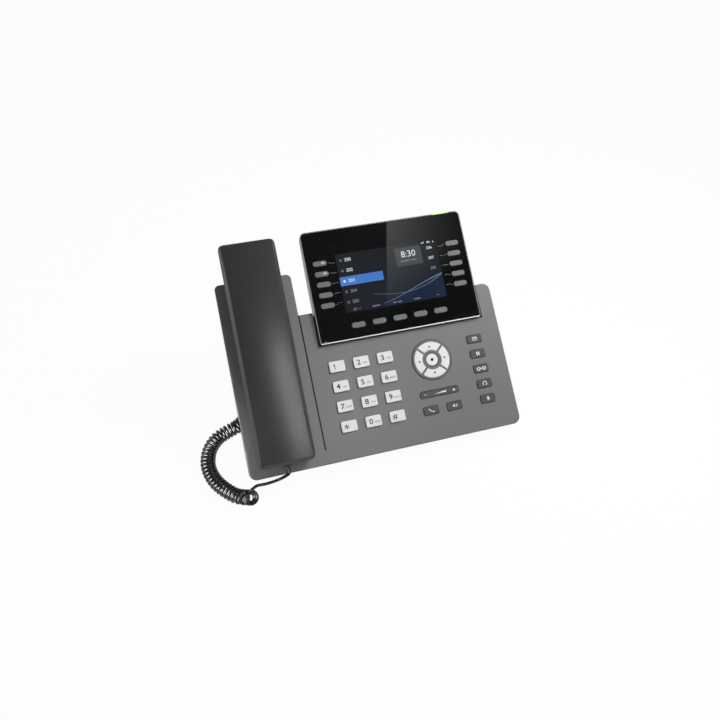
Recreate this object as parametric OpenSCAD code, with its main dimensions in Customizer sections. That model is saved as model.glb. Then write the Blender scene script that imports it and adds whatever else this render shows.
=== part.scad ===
// Desk telephone with a handset, a raised colour display and a curly handset cord.
// Millimetres. +X to the user's right, +Y to the back, +Z up, resting on z = 0.
// The face plane leans back by face_tilt. Its own axes are u (right), v (up the face)
// and w (out of the face), with the origin at the middle of the face's front edge.

/* [Body] */
// Width of the body
body_w = 249; // [244:1:262]
// Length of the face, from its front edge to the edge that carries the display
body_h = 133.7; // [130:0.1:140]
// Lean of the face from the horizontal, in degrees
face_tilt = 37.4; // [34:0.1:40]
// Height of the face's front edge above the table
face_lift = 16; // [14:0.5:19]
// Depth of the front shell
front_t = 7; // [6.8:0.1:9]
// Depth of the whole body behind the face
body_t = 26.5; // [25:0.5:32]
// Thickness of the face plate
plate_t = 2.5; // [2:0.1:2.8]
// Thickness of the shells' walls
wall = 2.5; // [1.8:0.1:3]
// Radius of the body's corners
corner_r = 7; // [4:0.5:9]
// Radius of the column's two upper corners
column_r = 4.5; // [3:0.5:7]
// Rounding of the face's outer edge
edge_r = 1.2; // [0.4:0.1:2]
// How far the rear shell sits inside the front shell
shell_inset = 1.5; // [0.5:0.1:2.5]
// Slope length at the back of the body's upper edges
back_bevel = 6; // [3:0.5:9]
// Depth of the level sole under the front edge
sole_l = 14; // [13:0.5:18]

/* [Cradle] */
// Width of the raised column that carries the handset
cradle_w = 67.7; // [64:0.1:72]
// Length of the column
cradle_h = 172.2; // [166:0.1:178]
// Depth of the column's upper end
cradle_tip_t = 14; // [12:0.5:18]
// Width of the groove between the column and the keypad
groove_w = 1.3; // [0.8:0.1:1.8]
// Depth of the groove
groove_d = 1.2; // [0.6:0.1:1.6]
// Distance of the groove's lower end from the front edge
groove_v = 12.8; // [10:0.1:20]
// Radius of the well for the earpiece
ear_well_r = 21.5; // [20.5:0.5:23]
// Distance of that well's centre from the column's upper end
ear_drop = 33.2; // [31:0.1:34.5]
// Width of the well for the mouthpiece
mouth_well_w = 41; // [39:0.5:43]
// Length of that well
mouth_well_h = 37; // [35:0.5:39]
// Height of that well's centre up the face
mouth_v = 36; // [33:0.5:38]
// Depth of both wells
well_d = 3.2; // [2.4:0.1:3.4]
// Thickness of the wells' floors
well_floor = 1.8; // [1.2:0.1:2.4]

/* [Handset] */
// Length of the handset
hs_l = 188.5; // [184:0.5:193]
// Width of the handset
hs_w = 47.5; // [45:0.5:50]
// Distance of its middle from the body's left edge
hs_x = 33.2; // [32:0.1:35]
// Height of its lower end up the face
hs_v = 8; // [6:0.5:11]
// Height of its lower end's top above the face
hs_lift = 22; // [20:0.5:25]
// Rise of its top towards the ear end, in degrees
hs_rise = 4; // [3:0.1:5]
// Crown of its top, end to end
hs_crown = 1.6; // [0.8:0.1:2.4]
// Depth of the outer half of its shell
hs_top_t = 9; // [7:0.5:10]
// Width of the bevel along its long edges
hs_bevel_w = 3.2; // [2:0.1:5]
// Drop of that bevel
hs_bevel_h = 2.2; // [1:0.1:4]
// Radius of its corners
hs_corner_r = 5; // [3:0.5:8]
// Draft of the lower half on each side
hs_draft = 2; // [1:0.1:3]
// Wall of both halves
hs_wall = 2.2; // [1.6:0.1:2.8]
// Clearance under both ends, above the face
hs_under = 2.5; // [1.5:0.1:3.5]
// Height of the finger arch above the face
grip_rise = 13; // [11:0.5:14]
// Length of the finger arch
grip_l = 62; // [54:1:64]
// Height of the arch's middle up the face
grip_v = 89; // [87:0.5:91]
// Radius of the earpiece boss
ear_cap_r = 20; // [18:0.5:20]
// Width of the mouthpiece boss
mouth_cap_w = 38; // [34:0.5:38]
// Length of the mouthpiece boss
mouth_cap_h = 34; // [30:0.5:34]
// Radius of a sound hole
sound_r = 1; // [0.6:0.1:1.4]
// Radius of the ring of sound holes in the earpiece
sound_ring = 7; // [5:0.5:10]
// Holes in that ring
sound_n = 6; // [4:1:8]

/* [Hook switch and rest tab] */
// Width of the hook switch's plunger
hook_w = 9; // [7:0.5:11]
// Length of the plunger
hook_l = 5; // [4:0.5:7]
// Travel of the plunger
hook_travel = 3; // [2:0.1:3.5]
// Width of the tab that holds the handset on a wall
tab_w = 12; // [9:0.5:14]
// Length of the tab
tab_l = 5; // [4:0.5:6]
// Thickness of the tab
tab_t = 1.5; // [1:0.1:1.6]

/* [Display] */
// Width of the glass
glass_w = 149.7; // [147:0.1:151]
// Height of the glass
glass_h = 99.8; // [97:0.1:103]
// Thickness of the glass
glass_t = 2; // [1.5:0.1:2.4]
// Radius of the glass's upper corners
glass_r = 4; // [2.5:0.5:6]
// Width of the rim around the glass
rim = 0.9; // [0.7:0.1:1.5]
// Depth of the display module
disp_t = 15; // [14:0.5:18]
// Depth of the module at its upper edge
disp_tip_t = 8; // [7:0.5:11]
// Lean of the display beyond the face's, in degrees
disp_tilt = 2.4; // [1:0.1:4]
// Middle of the display, right of the body's middle
disp_u = 32.5; // [31:0.5:34]
// Height of the glass's lower edge up the face
disp_v = 103.9; // [102:0.1:107]
// Height of the glass's lower edge above the face
disp_proud = 4; // [3:0.1:5.5]
// Gap left of the display, in the body's notch
notch_gap_l = 1.2; // [0.8:0.1:2]
// Gap right of the display
notch_gap_r = 2.6; // [1:0.1:3]
// Gap below the display
notch_gap_v = 0.7; // [0.5:0.1:1.4]
// Width of the picture area
lcd_w = 95.04; // [92:0.02:98]
// Height of the picture area
lcd_h = 53.86; // [51:0.02:56]
// Border of the panel around the picture area
lcd_border = 4; // [2:0.5:5]
// Thickness of the panel
lcd_t = 2.6; // [2:0.1:3]
// Height of the picture's centre above the glass's lower edge
lcd_y = 49.9; // [48.5:0.1:51]
// Height of the bright strip along the display's lower edge
trim_h = 1.6; // [1:0.1:2.2]
// Width of the message lamp
lamp_w = 15.6; // [10:0.2:20]
// Middle of the lamp, right of the display's middle
lamp_x = 57.3; // [50:0.1:58]
// Depth of the lamp
lamp_t = 5; // [3:0.5:6]

/* [Display keys] */
// Width of a line key
line_w = 12.7; // [11:0.1:13.5]
// Height of a line key
line_h = 4.7; // [4:0.1:5.2]
// Distance of the line keys' columns from the display's middle
line_x = 62.6; // [61.8:0.1:63.4]
// Height of the middle line key above the glass's lower edge
line_y = 51.7; // [50:0.1:53]
// Spacing of the line keys
line_pitch = 9.61; // [9.2:0.01:10.4]
// Width of a soft key
soft_w = 12.8; // [11:0.1:14]
// Height of a soft key
soft_h = 5; // [4.4:0.1:5.6]
// Height of the soft keys above the glass's lower edge
soft_y = 11.1; // [10:0.1:12]
// Spacing of the soft keys
soft_pitch = 19.37; // [17.6:0.01:21]
// Height of the display keys above the glass
disp_key_proud = 0.9; // [0.4:0.1:1.4]

/* [Keypad] */
// Width of a dial key
dial_w = 14.2; // [12.5:0.1:16]
// Height of a dial key
dial_h = 9.9; // [8.5:0.1:11.5]
// Sideways spacing of the dial keys
dial_pitch_u = 22.04; // [20:0.02:22.5]
// Spacing of the dial keys up the face
dial_pitch_v = 17.85; // [15.5:0.05:18.5]
// Middle column of the dial keys
dial_u = -10.4; // [-13:0.1:-8]
// Middle of the dial keys up the face
dial_v = 55.55; // [53:0.05:57]
// Height of a dial key above the face
dial_proud = 1.7; // [1:0.1:2.5]
// Travel of a dial key
dial_travel = 1.2; // [0.8:0.1:1.3]
// Width of a feature key
feat_w = 14.2; // [12.5:0.1:16]
// Height of a feature key
feat_h = 7.2; // [6:0.1:8.4]
// Spacing of the feature keys
feat_pitch = 14; // [12:0.1:14.5]
// Column of the feature keys
feat_u = 98.05; // [96:0.05:102]
// Middle feature key up the face
feat_v = 55.7; // [53:0.1:58]
// Middle between the two call keys
call_u = 54.4; // [52:0.1:56]
// Sideways spacing of the two call keys
call_pitch = 22.2; // [19:0.1:24]
// Height of the call keys up the face
call_v = 27.45; // [24:0.05:29]
// Height of the feature and call keys above the face
feat_proud = 1.2; // [0.8:0.1:2]
// Travel of every key but the dial keys
key_travel = 0.8; // [0.5:0.1:1]
// Rounding of a key's corners
key_r = 1.3; // [0.8:0.1:2]
// Gap between a key and its hole
key_gap = 0.3; // [0.2:0.05:0.4]
// Width of the flange that holds a key in
flange = 1.1; // [0.8:0.1:1.4]
// Thickness of that flange
flange_t = 0.9; // [0.7:0.1:1]

/* [Volume and navigation] */
// Length of the volume rocker
vol_w = 35.8; // [32:0.1:38]
// Height of the volume rocker
vol_h = 5.6; // [4.8:0.1:6.6]
// Volume rocker's height up the face
vol_v = 42; // [40.5:0.1:43]
// Middle of the navigation pad
nav_u = 54; // [52.5:0.1:56]
// Height of the navigation pad up the face
nav_v = 72.2; // [71:0.1:73]
// Radius of the pad
nav_r = 18.4; // [17:0.1:19]
// Gap around the pad and the rocker
nav_gap = 0.45; // [0.4:0.05:0.6]
// Outer radius of the four white segments
seg_out_r = 16.3; // [15.5:0.1:16.5]
// Inner radius of the segments
seg_in_r = 9; // [8.5:0.1:10]
// Width of the spokes between them
spoke_w = 1.9; // [1.2:0.1:2.6]
// Height of the pad above the face
nav_proud = 1.1; // [0.8:0.1:1.6]
// Radius of the centre key
ok_r = 5.6; // [5:0.1:6]
// Radius of the pad's centre hole
ok_hole_r = 6.4; // [6.3:0.1:6.8]

/* [Feet and stand] */
// Height of the rubber feet
foot_h = 2; // [1:0.1:3]
// Radius of the rubber feet
foot_r = 5; // [4:0.5:6]
// Distance of the front feet from the middle
foot_x = 98; // [80:1:105]
// Width of the stand
stand_w = 126; // [110:1:132]
// Height of the stand's upper edge up the face
stand_v1 = 122; // [116:1:124]
// Height of the stand's lower edge up the face
stand_v0 = 78; // [72:1:82]
// Distance of the stand's toe behind the face's front edge
stand_y = 130; // [122:1:140]
// Depth of the stand's toe
stand_toe = 16; // [14:1:22]
// Thickness of the stand's walls
stand_t = 2.8; // [2:0.1:3.6]

/* [Sockets] */
// Height of the socket row's mouths up the face
port_v = 52; // [50:0.5:53]
// Depth of the socket block
port_l = 12; // [11.5:0.5:13]
// Width of the socket block
port_w = 124; // [118:1:130]
// Distance of the recess's lower edge from the front edge
recess_v = 24; // [22:0.5:28]
// Depth of the recess in the back
recess_d = 13; // [12.6:0.1:14]
// Width of a network socket
rj45_w = 11.9; // [11.7:0.1:12.1]
// Height of a network socket
rj45_h = 8.2; // [8:0.1:8.4]
// Width of a handset or headset socket
rj9_w = 7.9; // [7.7:0.1:8.1]
// Height of a handset or headset socket
rj9_h = 6.8; // [6.6:0.1:7]
// Depth of every socket
socket_l = 10; // [9:0.5:10.5]
// Radius of the power socket
dc_r = 3.2; // [3:0.1:3.6]
// Radius of the power socket's pin
dc_pin_r = 1; // [0.8:0.1:1.2]

/* [Cord] */
// Diameter of the straight cord
cord_d = 2.7; // [2.4:0.1:3.2]
// Outer diameter of the coil
coil_d = 13.5; // [12:0.1:14]
// Gap between a plug and its socket
plug_gap = 0.15; // [0.05:0.05:0.25]

/* [Hidden] */
$fn = 64;
eps = 0.01;
// Clearance under a key's flange plate, and the seat gap of the handset
seat = 0.2;
// Reach of a cut beyond what it cuts
far = 80;

// Points of the side view: [y, z] of a point v up the face and w out of it, from the front edge
function side(v, w) = [v * cos(face_tilt) - w * sin(face_tilt),
                       face_lift + v * sin(face_tilt) + w * cos(face_tilt)];
// Handset top at length s and height n, in the face's [v, w]
function hs_vw(s, n) = [hs_v + s * cos(hs_rise) - n * sin(hs_rise),
                        hs_lift + s * sin(hs_rise) + n * cos(hs_rise)];
function disp_vw(y, z) = [disp_v + y * cos(disp_tilt) - z * sin(disp_tilt),
                          disp_proud + y * sin(disp_tilt) + z * cos(disp_tilt)];
function side2(p) = side(p[0], p[1]);

// Front and back limits of the object, whose middle is the origin
y_front = side2(hs_vw(0, -hs_crown - hs_bevel_h))[0];
y_back = side2(disp_vw(glass_h + rim, -disp_tip_t))[0];
face_y = -(y_front + y_back) / 2;

// Column, notch and handset places across the face
cradle_r = -body_w / 2 + cradle_w;
hs_u = -body_w / 2 + hs_x;
ear_v = cradle_h - ear_drop;
disp_w = glass_w + 2 * rim;
notch_l = disp_u - disp_w / 2 - notch_gap_l;
notch_r = disp_u + disp_w / 2 + notch_gap_r;
notch_v = disp_v - rim - notch_gap_v;

// Sole: the depth at which the rear shell's front wall reaches the feet's top
sole_w = (face_lift - foot_h + shell_inset * sin(face_tilt)) / cos(face_tilt);
sole_v1 = shell_inset + sole_l * cos(face_tilt);
sole_w1 = sole_w + sole_l * sin(face_tilt);

// Layers behind the face: flanges, rubber mat and circuit board
flange_w = -plate_t - seat;
board_t = 1.6;
board_w = -front_t - 0.6;
mat_w = board_w + board_t;
mat_t = 0.8;
board_l = cradle_r + wall + 2;
board_r = body_w / 2 - wall - 2;
board_v0 = wall + 3;
board_v1 = notch_v - wall - 1;

// Ring under the navigation pad, and the rocker's depth below and height above the face
gimbal_r = ok_hole_r + 4.1;
gimbal_in_r = ok_hole_r + 1.8;
vol_under = 3;
vol_proud = 0.8;

// Arch under the handset
arch_sag = grip_rise - hs_under;
arch_r = (grip_l * grip_l / 4 + arch_sag * arch_sag) / (2 * arch_sag);
arch_w = grip_rise - arch_r;

// Crown of the handset's top
crown_r = (hs_l * hs_l / 4 + hs_crown * hs_crown) / (2 * hs_crown);

// Socket block and the plugs in it
block_w0 = -body_t + 1.5;
block_w1 = -recess_d;
socket_w = (block_w0 + block_w1) / 2;
ports = [-50, -30, -8, 14, 36];
plug_n = -hs_top_t - 0.8 - rj9_h / 2;

// Keys: [u, v] on the face
dial_cols = [-1, 0, 1];
function dial_at(c, r) = [dial_u + c * dial_pitch_u, dial_v + (1.5 - r) * dial_pitch_v];
function feat_at(i) = [feat_u, feat_v + (2 - i) * feat_pitch];
function call_at(i) = [call_u + (i - 0.5) * call_pitch, call_v];
function line_at(s, i) = [s * line_x, line_y + (2 - i) * line_pitch];
function soft_at(i) = [(i - 2) * soft_pitch, soft_y];

// Route of the cord, from the middle of the face's front edge on the table
coil_z = coil_d / 2;
coil_route = [
    [-128, -10, coil_z], [-135.5, -6.2, coil_z], [-142, -0.5, coil_z], [-148.5, 7, coil_z],
    [-154, 16, coil_z], [-157.5, 27, coil_z], [-158, 38, coil_z], [-155, 50, coil_z],
    [-148, 60, coil_z], [-138, 66, coil_z], [-128, 70.5, coil_z], [-118.5, 80, coil_z],
    [-113.5, 96, coil_z], [-112, 114, coil_z], [-105, 128, coil_z], [-92, 134, coil_z],
    [-79, 128, coil_z], [-72, 114, coil_z], [-72, 96, coil_z], [-72, 78, coil_z]
];
lead_mid = [[-97, -6, 21], [-104, -6, 18.5], [-112, -5.5, 16.5], [-119.5, -4.4, 15],
    [-124.15, -6.25, 14]];
tail_mid = [[-72, 62, 8], [-66, 50, 11], [-57, 42, 17]];

// Colours
c_body = [0.48, 0.49, 0.50];
c_rear = [0.30, 0.31, 0.32];
c_dark = [0.10, 0.10, 0.11];
c_glass = [0.05, 0.05, 0.06];
c_handset = [0.22, 0.23, 0.24];
c_key = [0.90, 0.91, 0.92];
c_feat = [0.33, 0.34, 0.35];
c_line = [0.40, 0.41, 0.42];
c_rim = [0.55, 0.56, 0.57];
c_trim = [0.88, 0.88, 0.90];
c_lamp = [0.35, 0.80, 0.20];
c_board = [0.10, 0.35, 0.20];
c_steel = [0.75, 0.75, 0.72];

// ---- places ----

// Puts its children on the face: x = u, y = v, z = w
module on_face() translate([0, face_y, face_lift]) rotate([face_tilt, 0, 0]) children();
// Puts its children on the glass: x from its middle, y up from its lower edge, z out of it
module on_glass() on_face() translate([disp_u, disp_v, disp_proud])
    rotate([disp_tilt, 0, 0]) children();
// Puts its children on the handset: x across, y along, z out of its top
module on_handset() on_face() translate([hs_u, hs_v, hs_lift])
    rotate([hs_rise, 0, 0]) children();
// Draws a side view [y, z], measured from the front edge on the table, w wide
module across(w) translate([-w / 2, face_y, 0]) rotate([90, 0, 90])
    linear_extrude(w) children();

// ---- shapes ----

// Rectangle with round corners about the origin
module rounded(w, h, r) {
    square([w - 2 * r, h], center = true);
    square([w, h - 2 * r], center = true);
    for (x = [-1, 1], y = [-1, 1])
        translate([x * (w / 2 - r), y * (h / 2 - r)]) circle(r);
}

// Rectangle from [x0, y0] to [x1, y1] with round corners
module rounded_from(x0, y0, x1, y1, r)
    translate([(x0 + x1) / 2, (y0 + y1) / 2]) rounded(x1 - x0, y1 - y0, r);

// Edge of a moulded slab: a flat side, then n facets of a quarter round of radius e
function soft_edge(r, t, e, n = 3) = concat([[0, 0], [r, 0]],
    [for (i = [0:n]) [r - e + e * cos(90 * i / n), t - e + e * sin(90 * i / n)]],
    [[0, t]]);

// Slab with round corners r and a softened upper edge e, from z = 0 to t
module soft_slab(w, h, r, t, e) {
    a = w / 2 - r;
    b = h / 2 - r;
    linear_extrude(t) square([2 * a, 2 * b], center = true);
    for (q = [[a, b, 0], [-a, b, 90], [-a, -b, 180], [a, -b, 270]])
        translate([q[0], q[1], 0]) rotate([0, 0, q[2]])
            rotate_extrude(angle = 90) polygon(soft_edge(r, t, e));
    for (s = [0, 180]) rotate([0, 0, s]) {
        translate([a, b, 0]) rotate([90, 0, 0]) linear_extrude(2 * b) polygon(soft_edge(r, t, e));
        translate([-a, b, 0]) rotate([90, 0, 90]) linear_extrude(2 * a) polygon(soft_edge(r, t, e));
    }
}

// Key with a soft top, standing out of its plate, and a flange below the plate
module key(w, h, r, proud, plate, lip = flange) {
    translate([0, 0, -plate - seat - flange_t])
        soft_slab(w, h, r, plate + seat + flange_t + proud, 0.5);
    translate([0, 0, -plate - seat - flange_t])
        linear_extrude(flange_t) rounded(w + 2 * lip, h + 2 * lip, r + lip);
}

// Hole for a key
module key_hole(w, h, r, plate)
    translate([0, 0, -plate - 1]) linear_extrude(plate + 2)
        rounded(w + 2 * key_gap, h + 2 * key_gap, r + key_gap);

module dial_key(c, r) color(c_key) on_face()
    translate([dial_at(c, r)[0], dial_at(c, r)[1], 0])
        key(dial_w, dial_h, key_r, dial_proud, plate_t);
module feature_key(i) color(c_feat) on_face()
    translate([feat_at(i)[0], feat_at(i)[1], 0])
        key(feat_w, feat_h, key_r, feat_proud, plate_t);
module call_key(i) color(c_feat) on_face()
    translate([call_at(i)[0], call_at(i)[1], 0])
        key(feat_w, feat_h, key_r, feat_proud, plate_t);
module line_key(s, i) color(c_line) on_glass()
    translate([line_at(s, i)[0], line_at(s, i)[1], 0])
        key(line_w, line_h, line_h / 2 - 0.05, disp_key_proud, glass_t);
module soft_key(i) color(c_line) on_glass()
    translate([soft_at(i)[0], soft_at(i)[1], 0])
        key(soft_w, soft_h, soft_h / 2 - 0.05, disp_key_proud, glass_t);

// Smooth route through chosen points, m steps between each two
function bend(a, b, c, d, t) = 0.5 * (2 * b + (c - a) * t
    + (2 * a - 5 * b + 4 * c - d) * t * t + (3 * b - a - 3 * c + d) * t * t * t);
function route(p, m) = let (n = len(p) - 1) concat(
    [for (i = [0:n - 1], j = [0:m - 1])
        bend(p[max(i - 1, 0)], p[i], p[i + 1], p[min(i + 2, n)], j / m)],
    [p[n]]);
function unit(v) = v / norm(v);
function heading(p, i) = unit(p[min(i + 1, len(p) - 1)] - p[max(i - 1, 0)]);
// First cross direction carried along the route without twist
function carried(p, n, i) = i == 0 ? unit(cross(heading(p, 0), n))
    : let (b = carried(p, n, i - 1), h = heading(p, i)) unit(b - (b * h) * h);

// Round tube along a route
module tube(p, r, sides, n = [0, 0, 1]) {
    k = len(p);
    rings = [for (i = [0:k - 1]) let (h = heading(p, i), x = carried(p, n, i), y = cross(h, x))
        for (j = [0:sides - 1]) p[i] + r * (cos(360 * j / sides) * x + sin(360 * j / sides) * y)];
    walls = [for (i = [0:k - 2], j = [0:sides - 1]) let (a = i * sides + j,
        b = i * sides + (j + 1) % sides) [b, a, a + sides, b + sides]];
    polyhedron(rings, concat([[for (j = [0:sides - 1]) j]],
        walls, [[for (j = [0:sides - 1]) k * sides - 1 - j]]));
}

// ---- body ----

// Outline of the body and its column, drawn in by g, from v = g on
module body_plan(g) {
    rounded_from(-body_w / 2 + g, g, body_w / 2 - g, body_h - g, corner_r - g / 2);
    rounded_from(-body_w / 2 + g, 20, cradle_r - g, cradle_h - g, column_r - g / 2);
}

// Cups that hold the wells' floors
module well_cups(g, h) {
    translate([hs_u, ear_v, -h]) cylinder(r = ear_well_r + g, h = h);
    translate([hs_u, mouth_v, -h]) linear_extrude(h)
        rounded(mouth_well_w + 2 * g, mouth_well_h + 2 * g, 5 + g);
}

// Space for the display in the body
module display_space(g, back)
    on_glass() translate([notch_l - disp_u - g, -rim - notch_gap_v - g, -disp_t - back])
        cube([notch_r - notch_l + 2 * g, glass_h + 2 * rim + 40, disp_t + back + 30]);

module front_housing() color(c_body) difference() {
    on_face() difference() {
        union() {
            translate([0, body_h / 2, -front_t])
                soft_slab(body_w, body_h, corner_r, front_t, edge_r);
            translate([(cradle_r - body_w / 2) / 2, (20 + cradle_h) / 2, -front_t])
                soft_slab(cradle_w, cradle_h - 20, column_r, front_t, edge_r);
        }
        // Notch that the display stands in
        translate([notch_l, notch_v, -front_t - 1])
            cube([notch_r - notch_l, body_h, front_t + 10]);
        // Hollow behind the face plate, around the wells' cups
        difference() {
            translate([0, 0, -front_t - 1]) linear_extrude(front_t + 1 - plate_t) {
                rounded_from(-body_w / 2 + wall, wall, body_w / 2 - wall,
                    notch_v - wall, corner_r - wall / 2);
                rounded_from(-body_w / 2 + wall, 20, notch_l - wall,
                    body_h - wall, 2);
                rounded_from(-body_w / 2 + wall, 20, cradle_r - wall,
                    cradle_h - wall, column_r - wall / 2);
            }
            well_cups(wall, well_d + well_floor);
        }
        // Wells for the handset's two ends
        translate([0, 0, 0]) well_cups_cut();
        // Groove beside the column
        translate([cradle_r - groove_w / 2, groove_v, -groove_d])
            cube([groove_w, body_h, groove_d + 1]);
        // Key holes
        for (c = dial_cols, r = [0:3]) translate([dial_at(c, r)[0], dial_at(c, r)[1], 0])
            key_hole(dial_w, dial_h, key_r, plate_t);
        for (i = [0:4]) translate([feat_at(i)[0], feat_at(i)[1], 0])
            key_hole(feat_w, feat_h, key_r, plate_t);
        for (i = [0:1]) translate([call_at(i)[0], call_at(i)[1], 0])
            key_hole(feat_w, feat_h, key_r, plate_t);
        translate([call_u, vol_v, -plate_t - 1]) linear_extrude(plate_t + 2)
            rounded(vol_w + 2 * nav_gap, vol_h + 2 * nav_gap, 1.5 + nav_gap);
        translate([nav_u, nav_v, -plate_t - 1]) cylinder(r = nav_r + nav_gap, h = plate_t + 2);
    }
}

// What is cut out for the wells, the hook switch and the rest tab
module well_cups_cut() {
    translate([hs_u, ear_v, -well_d]) cylinder(r = ear_well_r, h = well_d + 1);
    translate([hs_u, mouth_v, -well_d]) linear_extrude(well_d + 1)
        rounded(mouth_well_w, mouth_well_h, 5);
    translate([hs_u, ear_v - 8, -well_d - well_floor - 1]) linear_extrude(well_floor + 2)
        rounded(hook_w + 2 * key_gap, hook_l + 2 * key_gap, 1);
    translate([hs_u - tab_w / 2 - key_gap, tab_v - tab_l / 2 - key_gap, -tab_t - seat])
        cube([tab_w + 2 * key_gap, tab_l + 2 * key_gap, tab_t + seat + 1]);
}
tab_v = ear_v + ear_well_r + 1.5 + tab_l / 2;

// Side view of the rear shell, drawn in by g, with its upper end at v1 and tip depth t1
module rear_side(g, v1, t1, bevel) polygon([
    side(shell_inset + g, -front_t + (g > 0 ? 1 : 0)),
    side(shell_inset + g, -sole_w + g * 0.4),
    side(sole_v1 + g * 0.5, -sole_w1 + g * 0.75),
    side(sole_v1 + g * 0.5, -body_t + g),
    side(v1 - bevel, -body_t + g),
    side(v1 - g, -t1 + g * 0.5),
    side(v1 - g, -front_t + (g > 0 ? 1 : 0))
]);

module rear_shape(g) {
    intersection() {
        across(body_w) rear_side(g, body_h - shell_inset, body_t - back_bevel, back_bevel);
        on_face() translate([0, 0, -body_t - 10]) linear_extrude(body_t + 20)
            rounded_from(-body_w / 2 + shell_inset + g, shell_inset + g,
                body_w / 2 - shell_inset - g, body_h - shell_inset - g, corner_r - g / 2);
    }
    intersection() {
        across(body_w) rear_side(g, cradle_h - shell_inset, cradle_tip_t, 50);
        on_face() translate([0, 0, -body_t - 10]) linear_extrude(body_t + 20)
            rounded_from(-body_w / 2 + shell_inset + g, 18, cradle_r - shell_inset - g,
                cradle_h - shell_inset - g, column_r - g / 2);
    }
}

// Recess in the back for the sockets
module recess(g) on_face()
    translate([-port_w / 2 - g, recess_v - g, -body_t - 10])
        cube([port_w + 2 * g, port_v + port_l - recess_v + 2 * g, body_t + 10 - recess_d + g]);

boss_r = 3;
bosses = [for (u = [board_l + 6, (board_l + board_r) / 2, board_r - 6], v = [board_v0 + 7, board_v1 - 6]) [u, v]];

module rear_housing() color(c_rear) difference() {
    union() {
        difference() {
            rear_shape(0);
            difference() {
                rear_shape(wall);
                recess(wall);
                display_space(0, wall);
            }
        }
        // Posts under the circuit board
        intersection() {
            rear_shape(0);
            on_face() for (b = bosses) translate([b[0], b[1], -body_t])
                cylinder(r = boss_r, h = body_t + board_w);
        }
    }
    display_space(0, 0);
    recess(0);
}

module main_board() color(c_board) on_face()
    translate([board_l, board_v0, board_w])
        cube([board_r - board_l, board_v1 - board_v0, board_t]);

module keypad_mat() color(c_dark) on_face() {
    translate([board_l + 1, board_v0 + 1, mat_w])
        cube([board_r - board_l - 2, board_v1 - board_v0 - 2, mat_t]);
    for (c = dial_cols, r = [0:3]) translate([dial_at(c, r)[0], dial_at(c, r)[1], mat_w])
        cylinder(r = 3, h = mat_t + 0.25);
    for (i = [0:4]) translate([feat_at(i)[0], feat_at(i)[1], mat_w])
        cylinder(r = 2.5, h = mat_t + 0.25);
    for (i = [0:1]) translate([call_at(i)[0], call_at(i)[1], mat_w])
        cylinder(r = 2.5, h = mat_t + 0.25);
}

// ---- display ----

// Outline of the display with larger upper corners
module glass_plan(g) {
    rounded_from(-glass_w / 2 - g, -g, glass_w / 2 + g, glass_h + g, glass_r + g);
    rounded_from(-glass_w / 2 - g, -g, glass_w / 2 + g, glass_h / 2, 1 + g);
}

module display_key_pockets(depth, g) {
    for (s = [-1, 1], i = [0:4]) translate([line_at(s, i)[0], line_at(s, i)[1], -glass_t - depth])
        linear_extrude(depth) rounded(line_w + 2 * g, line_h + 2 * g, line_h / 2 - 0.05 + g);
    for (i = [0:4]) translate([soft_at(i)[0], soft_at(i)[1], -glass_t - depth])
        linear_extrude(depth) rounded(soft_w + 2 * g, soft_h + 2 * g, soft_h / 2 - 0.05 + g);
}

module display_housing() color(c_rim) on_glass() difference() {
    intersection() {
        translate([0, 0, -disp_t]) linear_extrude(disp_t) glass_plan(rim);
        translate([-disp_w, 0, 0]) rotate([90, 0, 90]) linear_extrude(2 * disp_w) polygon([
            [-rim, 0], [-rim, -disp_t], [glass_h * 0.55, -disp_t],
            [glass_h + rim, -disp_tip_t], [glass_h + rim, 0]]);
    }
    // Bed of the glass
    translate([0, 0, -glass_t]) linear_extrude(glass_t + 1) glass_plan(0);
    // Bed of the picture panel
    translate([-lcd_w / 2 - lcd_border, lcd_y - lcd_h / 2 - lcd_border, -glass_t - lcd_t])
        cube([lcd_w + 2 * lcd_border, lcd_h + 2 * lcd_border, lcd_t + 1]);
    // Pockets that the keys' flanges travel in
    translate([0, 0, 0.5]) display_key_pockets(seat + flange_t + key_travel + 0.9, flange + key_gap);
    // Seat of the message lamp
    translate([lamp_x - lamp_w / 2, glass_h, -lamp_t]) cube([lamp_w, rim + 1, lamp_t + 1]);
    // Seat of the bright strip
    translate([-disp_w / 2 - 1, -rim - 1, -trim_h]) cube([disp_w + 2, rim + 1, trim_h + 1]);
}

module display_glass() color(c_glass) on_glass() difference() {
    translate([0, 0, -glass_t]) linear_extrude(glass_t) glass_plan(-0.05);
    translate([0, 0, glass_t + 1]) display_key_pockets(glass_t + 2, key_gap);
}

module lcd_panel() color(c_dark) on_glass()
    translate([-lcd_w / 2 - lcd_border + 0.1, lcd_y - lcd_h / 2 - lcd_border + 0.1, -glass_t - lcd_t])
        cube([lcd_w + 2 * lcd_border - 0.2, lcd_h + 2 * lcd_border - 0.2, lcd_t - 0.05]);

module display_trim() color(c_trim) on_glass() intersection() {
    translate([-disp_w / 2, -rim, -trim_h]) cube([disp_w, rim - 0.05, trim_h]);
    translate([0, 0, -disp_t]) linear_extrude(disp_t) glass_plan(rim);
}

module message_lamp() color(c_lamp) on_glass()
    translate([lamp_x - lamp_w / 2 + 0.05, glass_h, -lamp_t])
        cube([lamp_w - 0.1, rim, lamp_t]);

// ---- keys that rock ----

module volume_rocker() color(c_feat) on_face()
    translate([call_u, vol_v, -vol_under])
        soft_slab(vol_w, vol_h, 1.5, vol_under + vol_proud, 0.4);

module nav_gimbal() color(c_dark) on_face() translate([nav_u, nav_v, -4.4]) difference() {
    cylinder(r = gimbal_r, h = 1);
    translate([0, 0, -1]) cylinder(r = gimbal_in_r, h = 3);
}

// Ring segments between the spokes
module segments(g) difference() {
    circle(seg_out_r + g);
    circle(seg_in_r - g);
    for (a = [45, 135]) rotate(a) square([2 * nav_r + 4, spoke_w - 2 * g], center = true);
}

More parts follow.
